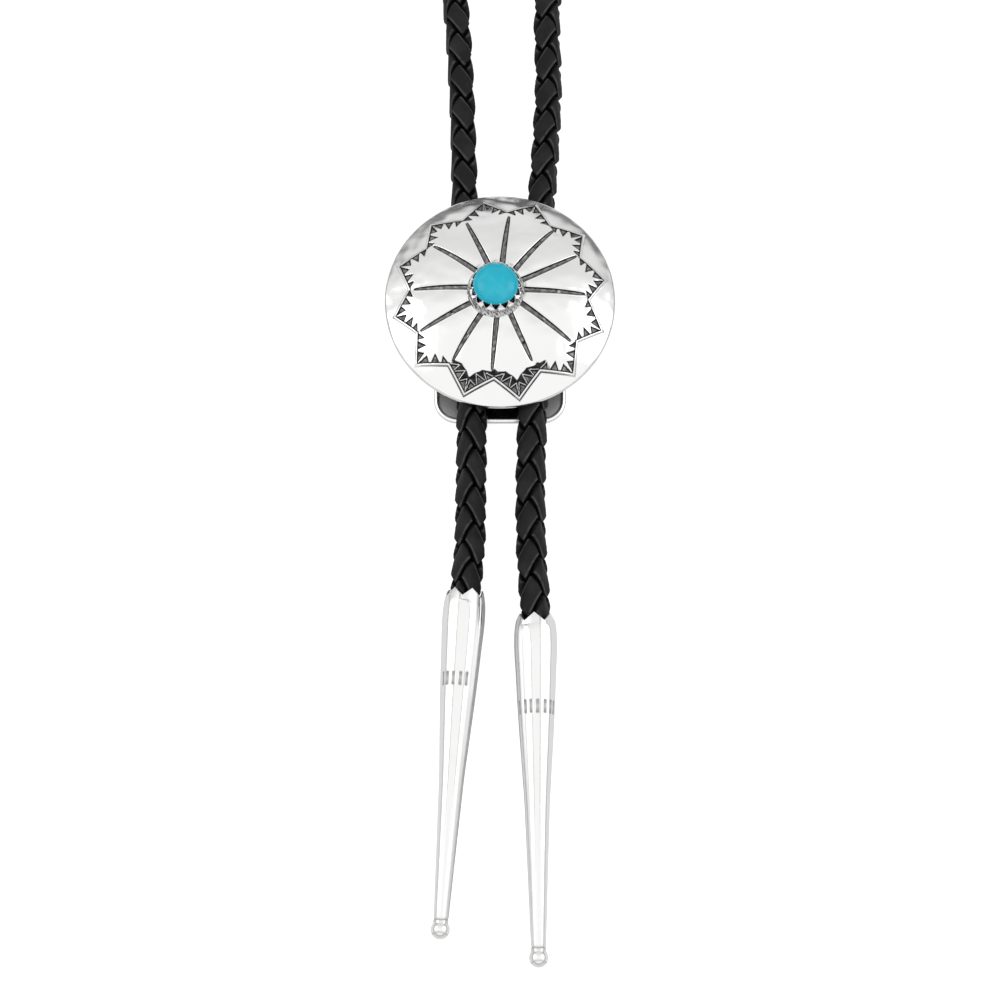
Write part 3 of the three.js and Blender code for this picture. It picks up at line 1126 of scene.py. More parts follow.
@dataclass
class Concho:
    """The domed silver disc, with grooves between its petals and a stamped star border."""

    radius: float = 0.022225
    rim_top: float = 0.0087
    rise: float = 0.0047
    sheet: float = 0.0009
    dome_power: int = 3
    puff: float = 0.00042
    groove_width: float = 0.00105
    groove_depth: float = 0.00032
    groove_start: float = 0.0052
    star_outer: float = 0.0205
    star_step: float = 0.0002
    ridge: float = 0.0003
    tooth_depth: float = 0.00022
    hammer: float = 0.000024
    # Angles of the lowest petals that carry a painted dark reflection, and how far it reaches in from the
    # star's side.
    dark_reflection: tuple[float, float] = (-124.0, -57.0)
    dark_reflection_reach: float = 0.0022
    chatter_at: float = 0.0112
    bezel_x: float = -0.0008
    bezel_foot: float = 0.00572
    sectors: int = 1080
    teeth: tuple[StampTooth, ...] = (
        StampTooth(0.02, 0.37, 0.29, 0.00135),
        StampTooth(0.43, 0.70, 0.535, 0.0017),
        StampTooth(0.76, 0.98, 0.78, 0.0013),
    )
    corners: tuple[Corner, ...] = (
        Corner(-168.1, 0.0204), Corner(-152.8, 0.0175), Corner(-138.8, 0.0209), Corner(-123.6, 0.0173),
        Corner(-108.7, 0.0208), Corner(-93.7, 0.0172), Corner(-80.0, 0.0208), Corner(-64.4, 0.0173),
        Corner(-48.7, 0.0209), Corner(-34.1, 0.0174), Corner(-20.0, 0.0205), Corner(-4.5, 0.0168),
        Corner(9.7, 0.0203), Corner(26.3, 0.017), Corner(39.0, 0.0205), Corner(56.2, 0.0172),
        Corner(70.6, 0.0206), Corner(85.5, 0.0172), Corner(99.3, 0.0201), Corner(115.3, 0.0169),
        Corner(131.4, 0.02), Corner(146.3, 0.0169), Corner(161.9, 0.0203), Corner(177.1, 0.0172),
    )
    grooves: tuple[Groove, ...] = (
        Groove(85.2, 83.8, 0.0163), Groove(54.2, 52.1, 0.0167), Groove(23.2, 27.8, 0.0167),
        Groove(-2.6, -1.2, 0.0164), Groove(-36.9, -36.8, 0.0168), Groove(-69.1, -67.1, 0.0155),
        Groove(-95.9, -95.3, 0.0162), Groove(-124.8, -122.4, 0.0167), Groove(-152.1, -152.4, 0.0171),
        Groove(177.6, 177.6, 0.0165), Groove(140.8, 142.6, 0.0162), Groove(113.8, 113.8, 0.0162),
    )

    def dome(self, radius: np.ndarray) -> np.ndarray:
        """Height of the plain dome at a distance from its middle."""
        return self.rim_top + self.rise * (1 - (radius / self.radius) ** self.dome_power)

    def profile(self) -> list[tuple[float, float]]:
        """The spun section, over the top, round the rim and back under.

        Returns:
            Radius and height of each point.
        """
        upper = np.concatenate([
            [0.0, 0.002, 0.004],
            np.arange(0.0049, 0.0152, 0.00045),
            np.arange(0.0152, 0.0168, 0.0002),
            np.arange(0.0168, 0.0208, 0.0001),
            np.linspace(0.0209, self.radius - 0.00012, 6),
        ])
        lower = np.array([1.0, 0.995, 0.93, 0.86, 0.75, 0.6, 0.4, 0.2, 0.0]) * self.radius
        points = [(r, self.dome(r)) for r in upper]
        for inset, drop in ((0.00004, 0.00005), (0.0, 0.00014), (0.0, 0.00076), (0.00003, 0.00086)):
            points.append((self.radius - inset, self.rim_top - drop))
        points += [(r, self.dome(r) - self.sheet) for r in lower[1:]]
        return points

    def star(self, radius: np.ndarray, angle: np.ndarray) -> tuple[np.ndarray, np.ndarray, np.ndarray]:
        """Where points lie on the star's nearest side.

        Args:
            radius: Their distances from the middle.
            angle: Their angles.

        Returns:
            The distance along the side from the petal's point, the side's length, and the
            distance inside the side.
        """
        turns = np.radians([corner.turn for corner in self.corners])
        reach = np.array([corner.reach for corner in self.corners])
        corner_x, corner_y = reach * np.cos(turns), reach * np.sin(turns)
        after = np.searchsorted(turns, angle) % len(turns)
        point = np.where(after % 2 == 0, after, after - 1)
        valley = np.where(after % 2 == 0, after - 1, after)
        run_x, run_y = corner_x[valley] - corner_x[point], corner_y[valley] - corner_y[point]
        length = np.hypot(run_x, run_y)
        x, y = radius * np.cos(angle) - corner_x[point], radius * np.sin(angle) - corner_y[point]
        along = (x * run_x + y * run_y) / length
        side = np.sign(run_y * corner_x[point] - run_x * corner_y[point])
        return along, length, side * (run_x * y - run_y * x) / length

    def petal(self, radius: np.ndarray, angle: np.ndarray) -> tuple[np.ndarray, np.ndarray, np.ndarray]:
        """Where points lie between the grooves.

        Args:
            radius: Their distances from the middle.
            angle: Their angles.

        Returns:
            The share of the petal's width, the angle from the nearest groove, and the reach of
            that groove.
        """
        full = 2 * math.pi
        before, after = np.full_like(angle, full), np.full_like(angle, full)
        reach_before, reach_after = np.zeros_like(angle), np.zeros_like(angle)
        for groove in self.grooves:
            ends = (self.groove_start, groove.reach)
            turn = np.radians(np.interp(radius, ends, (groove.turn_in, groove.turn_out)))
            off = (angle - turn) % full
            reach_before = np.where(off < before, groove.reach, reach_before)
            before = np.minimum(before, off)
            reach_after = np.where(full - off < after, groove.reach, reach_after)
            after = np.minimum(after, full - off)
        reach = np.where(before < after, reach_before, reach_after)
        return before / (before + after), np.minimum(before, after), reach

    def tooth_depths(self, along: np.ndarray, length: np.ndarray, inside: np.ndarray) -> np.ndarray:
        """How far inside a stamped triangle each point lies.

        Args:
            along: Distances along the star's side from the petal's point.
            length: The sides' lengths.
            inside: Distances inside the side.

        Returns:
            Distances from the triangle's nearest edge, negative outside all triangles.
        """
        deepest = np.full_like(along, -1.0)
        for tooth in self.teeth:
            start, end, point = (part * length for part in (tooth.start, tooth.end, tooth.point))
            left = (along - start) * tooth.height - inside * (point - start)
            left /= np.hypot(tooth.height, point - start)
            right = (end - along) * tooth.height - inside * (end - point)
            right /= np.hypot(tooth.height, end - point)
            deepest = np.maximum(deepest, np.minimum(np.minimum(left, right), inside))
        return deepest

    def groove(
        self, radius: np.ndarray, off: np.ndarray, reach: np.ndarray
    ) -> tuple[np.ndarray, np.ndarray]:
        """Where points lie in the nearest groove.

        Args:
            radius: Their distances from the middle.
            off: Their angles from the groove.
            reach: The groove's reach.

        Returns:
            The distance inside the groove's edge, and the groove's own depth there.
        """
        left = np.clip((reach - radius) / (reach - self.groove_start), 0.0, 1.0)
        inside = self.groove_width * left**0.25 / 2 - radius * np.sin(off)
        return inside, self.groove_depth * left**0.35

    def build(self, silver: bpy.types.Material) -> bpy.types.Object:
        """Makes the disc.

        Args:
            silver: Its material.

        Returns:
            The disc.
        """
        piece = Bench.spun("concho_dome", self.profile(), self.sectors)
        points = Bench.points(piece)
        x, y, z = points.T
        radius, angle = np.hypot(x, y), np.arctan2(y, x)
        upper = z > self.dome(radius) - 0.3 * self.sheet
        side, length, inside = self.star(radius, angle)
        tooth = self.tooth_depths(side, length, inside)
        petal, off, reach = self.petal(radius, angle)
        groove, depth = self.groove(radius, off, reach)
        in_star = soft_step(inside, -self.ridge - 0.00012, -self.ridge)
        along = np.clip(radius / self.star_outer, 0.0, 1.0)
        across = np.sqrt(np.sin(math.pi * petal))
        relief = in_star * (self.star_step + self.puff * np.sin(math.pi * along) * across)
        chisel = 0.00003 * ripples(x, y, 0.0009, 5)
        relief -= (depth + chisel) * soft_step(groove, -0.00006, 0.0001)
        relief += 0.00004 * np.exp(-((groove + 0.00016) / 0.00009) ** 2) * (depth > 0)
        relief -= (self.tooth_depth + chisel / 2) * soft_step(tooth, -0.00005, 0.00012)
        rim = soft_step(self.radius - radius, 0.0, 0.0012)
        relief += rim * self.hammer * ripples(x, y, 0.0045, 11)
        z += np.where(upper, relief, 0.0)
        Bench.shape(piece, lambda _: points)
        wear = 0.08 * ripples(x, y, 0.0007, 21)
        edges = soft_step(tooth, -0.00009, 0.00001) * (1 - (0.3 + wear) * soft_step(tooth, 0.00012, 0.00024))
        line = soft_step(inside, -0.00012, -0.00002) * (1 - soft_step(inside, 0.00012, 0.00022))
        chatter = np.exp(-((radius - self.chatter_at - 0.001 * np.sin(3 * angle)) / 0.0003) ** 2)
        worn = np.clip(0.34 + wear + 0.35 * chatter * ripples(x, y, 0.0005, 4), 0.0, 1.0)
        cut = soft_step(groove, -0.0001, 0.00001) * (1 - worn * soft_step(groove, 0.00008, 0.0002))
        # Thin dark line just outside the star's step: a little oxide all round, plus a painted dark
        # reflection that is much stronger on the lower petals.
        lower = soft_step(-y / np.maximum(radius, 0.001), 0.5, 0.95)
        step_line_and_dark_reflection = (0.1 + 0.9 * lower) * np.exp(-((inside + self.ridge + 0.00016) / 0.00014) ** 2)
        # Painted dark reflection on the two lowest petals, between their triangles.
        dark_reflection = self.dark_reflection_mask(angle, inside, side / length) * soft_step(-tooth, 0.00008, 0.00018)
        foot = 0.5 * np.exp(-((np.hypot(x - self.bezel_x, y) - self.bezel_foot) / 0.0001) ** 2)
        oxide_and_shade = np.maximum.reduce([edges, line, cut * (depth > 0.00005), step_line_and_dark_reflection, dark_reflection, foot])
        Bench.paint(piece, "oxide_and_shade", np.where(upper, oxide_and_shade, 0.0))
        return fit(piece, "concho", silver)

    def dark_reflection_mask(self, angle: np.ndarray, inside: np.ndarray, share: np.ndarray) -> np.ndarray:
        """A painted dark reflection between the triangles of the two lowest petals.

        Args:
            angle: Angles round the disc.
            inside: Distances inside the star's side.
            share: Shares of the side from its outer corner.

        Returns:
            How dark each point is, from 0 to 1.
        """
        first, last = (math.radians(turn) for turn in self.dark_reflection)
        among = soft_step(angle, first, first + 0.05) * (1 - soft_step(angle, last - 0.05, last))
        reach = self.dark_reflection_reach * (0.97 - 0.03 * np.cos(6 * math.pi * share))
        reach *= 1 - 0.42 * soft_step(share, 0.7, 1.0)
        return 0.95 * among * (inside > 0) * (1 - soft_step(inside, reach - 0.00012, reach))


@dataclass
class Bezel:
    """The saw-tooth cup round the stone, on its base ring."""

    x: float = -0.0008
    crown: float = 0.0134
    foot: float = 0.0008
    slip: float = 0.0008
    ring_radius: float = 0.0055
    ring_height: float = 0.0007
    wall_radius: float = 0.005
    sheet: float = 0.00027
    height: float = 0.0027
    bend_height: float = 0.0012
    lean: float = 0.00055
    teeth: int = 16
    tooth: float = 0.0015
    tooth_sectors: int = 18

    def profile(self) -> list[tuple[float, float]]:
        """The spun section.

        Returns:
            Radius and height of each point, from the foot up the outside and down the inside.
        """
        low, top = self.crown - self.foot, self.crown + self.height
        ring, wall, sheet = self.ring_radius, self.wall_radius, self.sheet
        points = [(ring, low), (ring, self.crown + 0.35 * self.ring_height)]
        for turn in (30, 60, 90):
            round_off = 0.45 * self.ring_height
            points.append((
                ring - round_off * (1 - math.cos(math.radians(turn))),
                self.crown + self.ring_height - round_off * (1 - math.sin(math.radians(turn))),
            ))
        points.append((wall + 0.00005, self.crown + self.ring_height - 0.00006))
        climb = np.linspace(self.crown + self.ring_height, top - 0.00004, 14)
        points += [(wall - self.leaned(z), z) for z in climb]
        points += [(wall - 0.0001 - self.lean, top), (wall - sheet + 0.00008 - self.lean, top)]
        points += [(wall - sheet - self.leaned(z), z) for z in climb[::-1]]
        points += [(wall - sheet, low), (ring, low)]
        return points

    def leaned(self, z: float) -> float:
        """How far the wall leans in at a height."""
        share = (z - self.crown - self.bend_height) / (self.height - self.bend_height)
        return self.lean * max(0.0, share) ** 1.3

    def build(self, silver: bpy.types.Material) -> bpy.types.Object:
        """Makes the cup.

        Args:
            silver: Its material.

        Returns:
            The cup.
        """
        piece = Bench.spun("bezel_cup", self.profile(), self.teeth * self.tooth_sectors)
        points = Bench.points(piece)
        x, y, z = points.T
        turn = (np.arctan2(y, x) / (2 * math.pi) * self.teeth) % 1.0
        notch = np.abs(turn - 0.5) * 2
        low = self.crown + self.height - self.tooth
        upright = self.wall_radius - self.sheet * 0.55
        inner = np.hypot(x, y) < upright - np.array([self.leaned(height) for height in z])
        share = np.clip((z - low + 0.0002) / (self.tooth + 0.0002), 0.0, 1.0)
        before = np.array([self.leaned(height) for height in z])
        z -= share * self.tooth * notch
        after = np.array([self.leaned(height) for height in z])
        upright_again = 1 + (before - after) / np.hypot(x, y)
        x *= upright_again
        y *= upright_again
        radius = np.hypot(x, y)
        y -= self.slip * (1 - np.clip((z - self.crown) / (self.height - self.tooth), 0.0, 1.0))
        x += self.x
        Bench.shape(piece, lambda _: points)
        top_edge = self.crown + self.height - self.tooth * notch
        wall = soft_step(low + 0.0001 - z, 0.0, 0.0002)
        crease = np.exp(-((z - self.crown - self.ring_height) / 0.0002) ** 2)
        scratched = np.clip(0.48 + 0.3 * ripples(x * 2 + y, z * 3, 0.0006, 8), 0.0, 1.0)
        oxide_and_shade = np.maximum(scratched * wall, 0.45 * crease * (radius > self.wall_radius - 0.0002))
        # Painted shade: the notch edges darken towards the notch bottoms and the inner wall is almost black
        # below its top edge, so the gaps behind the teeth read as shadow.
        below = top_edge - z
        oxide_and_shade = np.maximum(oxide_and_shade, 0.4 * (1 - soft_step(below, 0.00004, 0.0001)) * soft_step(notch, 0.1, 0.3))
        oxide_and_shade = np.where(inner, soft_step(top_edge - z, 0.0001, 0.0003), oxide_and_shade)
        Bench.paint(piece, "oxide_and_shade", oxide_and_shade)
        return fit(piece, "concho", silver)


@dataclass
class Cabochon:
    """The round turquoise: a flat back, a short wall and an oval dome."""

    x: float = -0.0008
    base: float = 0.0139
    radius: float = 0.00435
    height: float = 0.0038
    wall_share: float = 0.4
    chamfer: float = 0.0003
    shade_top: float = 0.01585
    dome_steps: int = 32
    sectors: int = 120

    def build(self, turquoise: bpy.types.Material) -> bpy.types.Object:
        """Makes the stone.

        Args:
            turquoise: Its material.

        Returns:
            The stone.
        """
        wall = self.height * self.wall_share
        profile = [(0.0, self.base), (self.radius - self.chamfer, self.base)]
        profile.append((self.radius, self.base + self.chamfer))
        for step in range(self.dome_steps + 1):
            turn = math.pi / 2 * step / self.dome_steps
            rise = wall + (self.height - wall) * math.sin(turn)
            profile.append((self.radius * math.cos(turn), self.base + rise))
        profile[-1] = (0.0, self.base + self.height)
        piece = Bench.spun("turquoise_cabochon", profile, self.sectors)
        Bench.shape(piece, lambda points: points + np.array([self.x, 0.0, 0.0]))
        # Painted shade on the stone's low wall below the notch bottoms, so the notches look black.
        Bench.paint(piece, "girdle_shade", 1 - soft_step(Bench.points(piece)[:, 2], self.shade_top - 0.0002, self.shade_top))
        return fit(piece, "stone", turquoise)


@dataclass
class SlideClasp:
    """The clasp behind the concho: a tray with a raised rim, a coated lever and a post."""

    width: float = 0.0255
    length: float = 0.0324
    lower_edge: float = -0.0224
    corner: float = 0.0045
    plate: float = 0.0009
    rim_width: float = 0.00085
    rim_height: float = 0.0002
    lever_x: float = 0.0004
    lever_size: tuple[float, float, float] = (0.0064, 0.022, 0.0013)
    lever_gap: float = 0.0001
    post_size: tuple[float, float] = (0.0052, 0.010)
    post_top: float = 0.0121

    def block(
        self, name: str, size: tuple[float, float], centre: tuple[float, float],
        heights: tuple[float, float], corner: float,
    ) -> bpy.types.Object:
        """Starts a slab with rounded corners and leaves it in edit mode, its top selected.

        Args:
            name: Its name.
            size: Its width and length.
            centre: Where its middle lies.
            heights: Its bottom and top.
            corner: Its corners' radius.

        Returns:
            The slab.
        """
        bpy.ops.object.select_all(action="DESELECT")
        bpy.ops.mesh.primitive_plane_add(size=1.0, location=(*centre, heights[0]))
        piece = Bench.start(name)
        bpy.ops.transform.resize(value=(size[0], size[1], 1.0))
        bpy.ops.mesh.bevel(offset=corner, segments=10, affect="VERTICES")
        rise = {"value": (0.0, 0.0, heights[1] - heights[0])}
        bpy.ops.mesh.extrude_region_move(TRANSFORM_OT_translate=rise)
        return piece

    def close(self, piece: bpy.types.Object, round_off: float) -> bpy.types.Object:
        """Leaves a slab's edit mode and rounds its sharp edges.

        Args:
            piece: The slab.
            round_off: The rounding's radius.

        Returns:
            The slab.
        """
        bpy.ops.mesh.select_all(action="SELECT")
        bpy.ops.mesh.normals_make_consistent(inside=False)
        Bench.done(piece, 35.0)
        bevel = piece.modifiers.new("rounded edges", "BEVEL")
        bevel.width = round_off
        bevel.segments = 4
        bevel.limit_method = "ANGLE"
        bevel.angle_limit = math.radians(50)
        bpy.ops.object.modifier_apply(modifier=bevel.name)
        return piece

    def edge_distance(self, points: np.ndarray, middle: float) -> np.ndarray:
        """Distances of points from the tray's rounded outline, seen from above.

        Args:
            points: The points.
            middle: The y of the tray's middle.

        Returns:
            The distances, inwards.
        """
        beside = np.abs(points[:, 0]) - (self.width / 2 - self.corner)
        beyond = np.abs(points[:, 1] - middle) - (self.length / 2 - self.corner)
        out = np.hypot(np.maximum(beside, 0.0), np.maximum(beyond, 0.0))
        return self.corner - out - np.minimum(np.maximum(beside, beyond), 0.0)

    def build(self, nickel: bpy.types.Material, coat: bpy.types.Material) -> None:
        """Makes the tray, the lever and the post.

        Args:
            nickel: The metal's material.
            coat: The lever's material.
        """
        rim_top = self.plate + self.rim_height
        middle = self.lower_edge + self.length / 2
        tray = self.block("clasp_tray", (self.width, self.length), (0.0, middle),
                          (0.0, rim_top), self.corner)
        bpy.ops.mesh.inset(thickness=self.rim_width)
        bpy.ops.mesh.inset(thickness=self.rim_height)
        bpy.ops.transform.translate(value=(0.0, 0.0, -self.rim_height))
        self.close(tray, 0.00055)
        top = Bench.points(tray)[:, 2]
        edge = self.edge_distance(Bench.points(tray), middle)
        # The rim is painted as polished metal, with a painted highlight.
        rim = soft_step(top, 0.0002, 0.0005) * (1 - soft_step(edge, self.rim_width, self.rim_width * 1.15))
        Bench.paint(tray, "polish_and_highlight", rim)
        fit(tray, "slide_clasp", nickel)

        width, length, height = self.lever_size
        lever_y = self.lower_edge + self.rim_width + self.lever_gap + length / 2
        lever = self.block("clasp_lever", (width, length), (self.lever_x, lever_y),
                           (self.plate * 0.9, self.plate + height), width / 8)
        fit(self.close(lever, 0.0003), "slide_clasp", coat)

        post = self.block("clasp_post", self.post_size, (self.lever_x, 0.0),
                          (self.plate * 0.9, self.post_top), self.post_size[0] / 4)
        fit(self.close(post, 0.0003), "slide_clasp", nickel)


@dataclass
class Flute:
    """The line between two flutes of a tip, in degrees from the tip's top."""

    turn: float
    at_mouth: float


@dataclass
class FlutedTip:
    """A hollow fluted cone with a zig-zag mouth and a ball on its point."""

    side: Side
    roll: float
    flutes: tuple[Flute, ...]
    bars: tuple[float, ...]
    bars_at: float
    facing_shade: tuple[float, float, float]
    seam: float | None = None
    length: float = 0.0635
    sheet: float = 0.00036
    mouth_radius: float = 0.00312
    shoulder_radius: float = 0.00402
    neck_radius: float = 0.0013
    ball_radius: float = 0.00168
    neck_gap: float = 0.0017
    hollow: float = 0.72
    teeth: int = 6
    tooth: float = 0.0016
    tooth_top: float = 0.00072
    tooth_reach: float = 0.0045
    back_flutes: int = 6
    arch: float = 0.001
    arch_start: float = 0.0018
    flatness: float = 0.85
    deepest: float = 0.06
    bar_size: tuple[float, float] = (0.00072, 0.0027)
    bar_depth: float = 0.00006
    blend: float = 0.0014
    sectors: int = 300
    taper: tuple[tuple[float, float], ...] = (
        (-0.043, 0.385), (0.0, 0.67), (0.043, 0.955), (0.085, 1.0), (0.12, 0.992), (0.17, 0.917),
        (0.25, 0.833), (0.35, 0.7), (0.45, 0.538), (0.55, 0.379), (0.65, 0.284), (0.75, 0.189), (0.85, 0.102),
        (0.93, 0.03), (0.96, 0.0), (1.0, 0.0),
    )

    def outer(self, down: np.ndarray) -> np.ndarray:
        """The cone's radius at a distance below the mouth."""
        near = np.linspace(-self.blend, self.blend, 7)
        share = sum(np.interp((down + off) / self.length, *zip(*self.taper)) for off in near) / len(near)
        return self.neck_radius + share * (self.shoulder_radius - self.neck_radius)

    def profile(self) -> list[tuple[float, float]]:
        """The spun section, from the ball up the outside, over the mouth and down the inside.

        Returns:
            Radius and height of each point, the mouth at height 0.
        """
        ball_centre = self.length - self.ball_radius
        neck_turn = math.asin(self.neck_radius / self.ball_radius)
        turns = np.linspace(0.0, math.pi - neck_turn, 40)
        points = [
            (self.ball_radius * math.sin(t), -ball_centre - self.ball_radius * math.cos(t)) for t in turns
        ]
        neck = -points[-1][1]
        low, high = self.bars_at - 0.0004, self.bars_at + self.bar_size[1] + 0.0004
        down = np.concatenate([
            np.linspace(neck - 0.0001, neck - 0.0016, 12),
            np.linspace(neck - 0.0018, high, 44),
            np.linspace(high, low, 22)[1:],
            np.linspace(low, self.tooth_reach, 12)[1:],
            np.linspace(self.tooth_reach, 0.00006, 26)[1:],
        ])
        points += [(float(self.outer(d)), -float(d)) for d in down]
        points += [(self.mouth_radius - 0.00008, 0.0), (self.mouth_radius - self.sheet, 0.0)]
        inside = np.concatenate([
            np.linspace(0.0002, self.tooth_reach, 10), np.linspace(0.008, self.hollow * self.length, 10)
        ])
        points += [(float(self.outer(d)) - self.sheet, -float(d)) for d in inside]
        points.append((0.0, -self.hollow * self.length))
        return points

    def panel(self, angle: np.ndarray, down: np.ndarray) -> tuple[np.ndarray, np.ndarray]:
        """Where points lie in their flute.

        Args:
            angle: Angles round the tip, in degrees.
            down: Distances below the mouth.

        Returns:
            The angle from the flute's middle, and the flute's half width.
        """
        first, last = self.flutes[0].turn, self.flutes[-1].turn
        step = (360 + first - last) / (self.back_flutes + 1)
        hidden = [last + step * (index + 1) for index in range(self.back_flutes)]
        lines = [*self.flutes, *(Flute(turn, turn) for turn in hidden)]
        bend = np.exp(-np.maximum(down - self.arch_start, 0.0) / self.arch)
        before, after = np.full_like(angle, 360.0), np.full_like(angle, 360.0)
        for line in lines:
            off = (angle - 90 - line.turn - (line.at_mouth - line.turn) * bend) % 360
            before = np.minimum(before, off)
            after = np.minimum(after, 360 - off)
        half = (before + after) / 2
        return np.abs(before - half), half

    def build(self, silver: bpy.types.Material) -> bpy.types.Object:
        """Makes the tip.

        Args:
            silver: Its material.

        Returns:
            The tip.
        """
        piece = Bench.spun(self.side.value + "_cone", self.profile(), self.sectors)
        points = Bench.points(piece)
        x, y, z = points.T
        radius, down = np.hypot(x, y), -z
        angle = np.degrees(np.arctan2(y, x))
        cone = (radius > self.outer(down) - self.sheet * 0.6) & (down < self.length - 2 * self.ball_radius)
        sector = 360 / self.teeth
        from_point = np.abs((angle - self.roll + sector / 2) % sector - sector / 2) / (sector / 2)
        from_middle, half = self.panel(angle, down)
        flat = np.cos(np.radians(half)) / np.cos(np.radians(from_middle))
        strength = self.flatness * soft_step(down, -0.003, 0.003) * (1 - 0.4 * soft_step(down, 0.02, 0.055))
        scale = 1 - cone * strength * np.minimum(1 - flat, self.deepest)
        crease = np.exp(-((half - from_middle) * radius * math.pi / 180 / 0.00015) ** 2)
        scale -= cone * 0.00004 * crease / np.maximum(radius, 0.001)
        bar = self.bar_mask(angle, down, radius)
        scale -= cone * self.bar_depth * bar / np.maximum(radius, 0.001)
        seam = self.seam_mask(angle, down, radius)
        scale -= cone * 0.0002 * seam / np.maximum(radius, 0.001)
        cut = (self.tooth_top + self.tooth * from_point) * np.clip(1 - down / self.tooth_reach, 0.0, 1.0)
        scale *= self.outer(down + cut) / self.outer(down)
        neck_at = self.length - self.ball_radius - self.neck_gap
        neck = np.exp(-((down - neck_at) / 0.00025) ** 2)
        bead = soft_step(down, neck_at + 0.0001, neck_at + 0.0004)
        scale += cone * (0.00012 * bead - 0.0001 * neck) / np.maximum(radius, 0.001)
        x *= scale
        y *= scale
        z -= cut
        Bench.shape(piece, lambda _: points)
        fade = 1 - 0.5 * soft_step(down, 0.03, 0.055)
        inner = radius < self.outer(down) - self.sheet * 0.6
        # Painted shade along the side of the tip that faces the other tip.
        first, last, strength = self.facing_shade
        turned = (angle - 90 + 180) % 360 - 180
        facing_shade = strength * soft_step(turned, first, first + 4) * (1 - soft_step(turned, last - 4, last))
        # Painted reflection on the ball: a grey cap over its far part and a dark ring along the cap's edge.
        sideways = radius * np.cos(np.radians(angle)) / self.ball_radius
        beyond = (down - self.length + self.ball_radius) / self.ball_radius - 0.24 - 0.4 * sideways**2
        ball_reflection = 0.2 * soft_step(beyond, 0.0, 0.08) + 0.4 * np.exp(-(beyond / 0.08) ** 2)
        collar = np.exp(-((down - neck_at - 0.0004) / 0.0005) ** 2)
        bar_ends = 1 + 0.35 * np.abs(down - self.bars_at - self.bar_size[1] / 2) / (self.bar_size[1] / 2)
        oxide_and_shade = np.maximum.reduce([
            0.42 * crease * fade * cone, 0.42 * bar * bar_ends, 0.9 * seam, 0.5 * neck, facing_shade * cone,
            ball_reflection, 0.26 * collar,
        ])
        # Painted shade: the tip's inside, down the hollow, is painted almost black.
        oxide_and_shade = np.where(inner & (down < self.hollow * self.length + 0.001), 0.9, oxide_and_shade)
        Bench.paint(piece, "oxide_and_shade", oxide_and_shade)
        Bench.paint(piece, "buffed", soft_step(down, neck_at, neck_at + 0.0004))
        piece.data.transform(TIP_AXES[self.side].matrix())
        return fit(piece, self.side.value, silver)

    def bar_mask(self, angle: np.ndarray, down: np.ndarray, radius: np.ndarray) -> np.ndarray:
        """The stamped bars.

        Args:
            angle: Angles round the tip, in degrees.
            down: Distances below the mouth.
            radius: Distances from the axis.

        Returns:
            1 in a bar and 0 outside.
        """
        width, length = self.bar_size
        mask = np.zeros_like(angle)
        for bar in self.bars:
            off = np.abs((angle - 90 - bar + 180) % 360 - 180) * math.pi / 180 * radius
            mask = np.maximum(mask, 1 - soft_step(off, width / 2 - 0.00008, width / 2 + 0.00005))
        middle = self.bars_at + length / 2
        return mask * (1 - soft_step(np.abs(down - middle), length / 2 - 0.00015, length / 2))

    def seam_mask(self, angle: np.ndarray, down: np.ndarray, radius: np.ndarray) -> np.ndarray:
        """The open seam that runs down from the mouth.

        Args:
            angle: Angles round the tip, in degrees.
            down: Distances below the mouth.
            radius: Distances from the axis.

        Returns:
            1 in the seam and 0 outside.
        """
        if self.seam is None:
            return np.zeros_like(angle)
        turned = (angle - 90 + 180) % 360 - 180
        off = np.abs(turned - self.seam) * math.pi / 180 * radius
        lap = np.abs(off - 0.0007) * (turned > self.seam) + 0.001 * (turned <= self.seam)
        line = np.maximum(1 - soft_step(off, 0.00004, 0.00014), 1 - soft_step(lap, 0.00008, 0.0003))
        line *= 1 - soft_step(down, 0.0068, 0.0072)
        dot = 1 - soft_step(np.hypot(off, down - 0.0072), 0.00015, 0.0003)
        return np.maximum(line, dot)


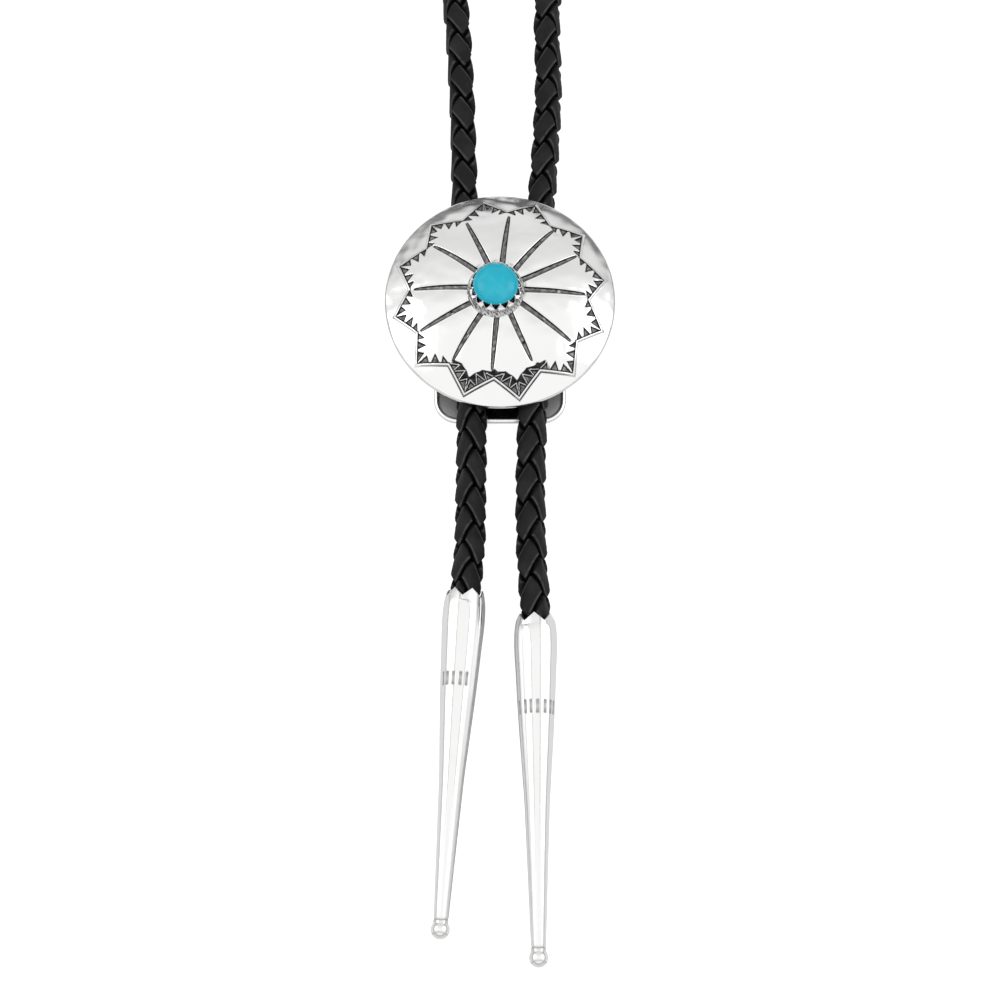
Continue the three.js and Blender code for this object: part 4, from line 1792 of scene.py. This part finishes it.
@dataclass
class Studio:
    """The pale surface, the soft light and the camera."""

    floor_size: float = 3.0
    camera_place: Point = (0.0, -0.14415, 0.32157)
    camera_tilt: float = 18.3
    focal_length: float = 64.0
    sensor: float = 36.0
    zenith_light: float = 1.0
    box_watts: float = 1.1
    tent_levels: tuple[tuple[float, float], ...] = (
        (0.05, 0.2), (0.12, 0.27), (0.2, 0.62), (0.27, 0.93), (0.4, 1.0),
    )
    far_levels: tuple[Span, ...] = (
        (0.2, 1.0), (0.63, 0.8), (0.8, 0.76), (0.93, 0.85), (0.97, 0.8), (0.99, 0.45),
    )

    def camera(self) -> None:
        """Sets the camera at the photograph's viewing angle."""
        lens = bpy.data.cameras.new("camera")
        lens.lens = self.focal_length
        lens.sensor_width = self.sensor
        lens.clip_start = 0.01
        camera = bpy.data.objects.new("camera", lens)
        camera.location = self.camera_place
        camera.rotation_euler = (math.radians(self.camera_tilt), 0.0, 0.0)
        bpy.context.scene.collection.objects.link(camera)
        bpy.context.scene.camera = camera

    def floor(self, pale: bpy.types.Material) -> None:
        """Lays the surface.

        Args:
            pale: Its material.
        """
        bpy.ops.object.select_all(action="DESELECT")
        bpy.ops.mesh.primitive_plane_add(size=self.floor_size, location=(0.0, 0.0, -0.0001))
        plane = Bench.done(Bench.start("floor", edit=False))
        plane.data.materials.append(pale)

    def sky(self) -> None:
        """Lights the scene from a white tent that darkens towards the horizon."""
        world = bpy.data.worlds.new("tent")
        bpy.context.scene.world = world
        graph = Graph(world)
        direction = graph.node("ShaderNodeTexCoord", {}, {}, 0)
        height = graph.node("ShaderNodeSeparateXYZ", {}, {0: direction}, 2)
        ahead = graph.node("ShaderNodeSeparateXYZ", {}, {0: direction}, 1)
        stops = [(place, (level, level, level)) for place, level in self.tent_levels]
        tent = graph.node("ShaderNodeValToRGB", {"stops": stops}, {0: height})
        stops = [(place, (level, level, level)) for place, level in self.far_levels]
        far = graph.node("ShaderNodeValToRGB", {"stops": stops}, {0: ahead})
        tent = graph.node(
            "ShaderNodeMix", {"data_type": "RGBA", "blend_type": "MULTIPLY"}, {0: 1.0, 6: tent, 7: far}, 2
        )
        seen = graph.node("ShaderNodeLightPath", {}, {}, 0)
        colour = graph.mixed(seen, tent, (1.0, 1.0, 1.0))
        light = graph.node("ShaderNodeBackground", {}, {"Color": colour, "Strength": self.zenith_light})
        graph.node("ShaderNodeOutputWorld", {}, {0: light})

    def softbox(self, name: str, place: Point, aim: Point, size: float, watts: float) -> None:
        """Hangs a soft light.

        Args:
            name: Its name.
            place: Where it hangs.
            aim: The point that it faces.
            size: The length of its side.
            watts: Its power.
        """
        lamp = bpy.data.lights.new(name, "AREA")
        lamp.size = size
        lamp.energy = watts
        light = bpy.data.objects.new(name, lamp)
        light.location = place
        light.rotation_euler = (Vector(aim) - Vector(place)).to_track_quat("-Z", "Y").to_euler()
        bpy.context.scene.collection.objects.link(light)

    def build(self) -> None:
        """Sets the surface and the lights."""
        self.floor(PaleSurface().material())
        self.sky()
        for name, x in (("left_box", -0.75), ("right_box", 0.75)):
            self.softbox(name, (x, 0.1, 0.6), (0.0, 0.0, 0.0), 0.5, self.box_watts)
        bpy.context.scene.view_settings.view_transform = "Standard"


def main() -> None:
    """Builds the tie, piece by piece, and the studio round it."""
    logging.basicConfig(level=logging.INFO, format="%(asctime)s %(name)s %(message)s")
    studio = Studio()
    studio.camera()
    stamped = PolishedSilver("stamped_silver", 0.12, dent_ratio=36.0).material()
    satin = PolishedSilver("satin_silver", 0.3).material()
    nickel = SatinNickel().material()
    BraidedCord(CordRoute(CORD_ROUTE)).build(BlackLeather().material())
    Concho().build(stamped)
    Bezel().build(stamped)
    Cabochon().build(Turquoise().material())
    SlideClasp().build(nickel, BlackRubber().material())
    FlutedTip(
        Side.LEFT, roll=54.0, bars=(-57.0, -38.0, -16.0, 6.0, 27.0), bars_at=0.0163, seam=51.0,
        facing_shade=(58.0, 112.0, 0.44),
        flutes=(Flute(-44.0, -50.0), Flute(-14.0, -14.0), Flute(18.0, -13.0), Flute(59.0, 57.0)),
    ).build(satin)
    FlutedTip(
        Side.RIGHT, roll=25.0, bars=(-66.0, -39.0, -18.0, 3.0, 28.0, 50.0, 69.0), bars_at=0.0167,
        facing_shade=(-112.0, -73.0, 0.42),
        flutes=(Flute(-56.0, -50.0), Flute(-14.0, -44.0), Flute(11.5, 12.0), Flute(44.0, 31.0)),
    ).build(satin)
    studio.build()


if __name__ == "__main__":
    main()
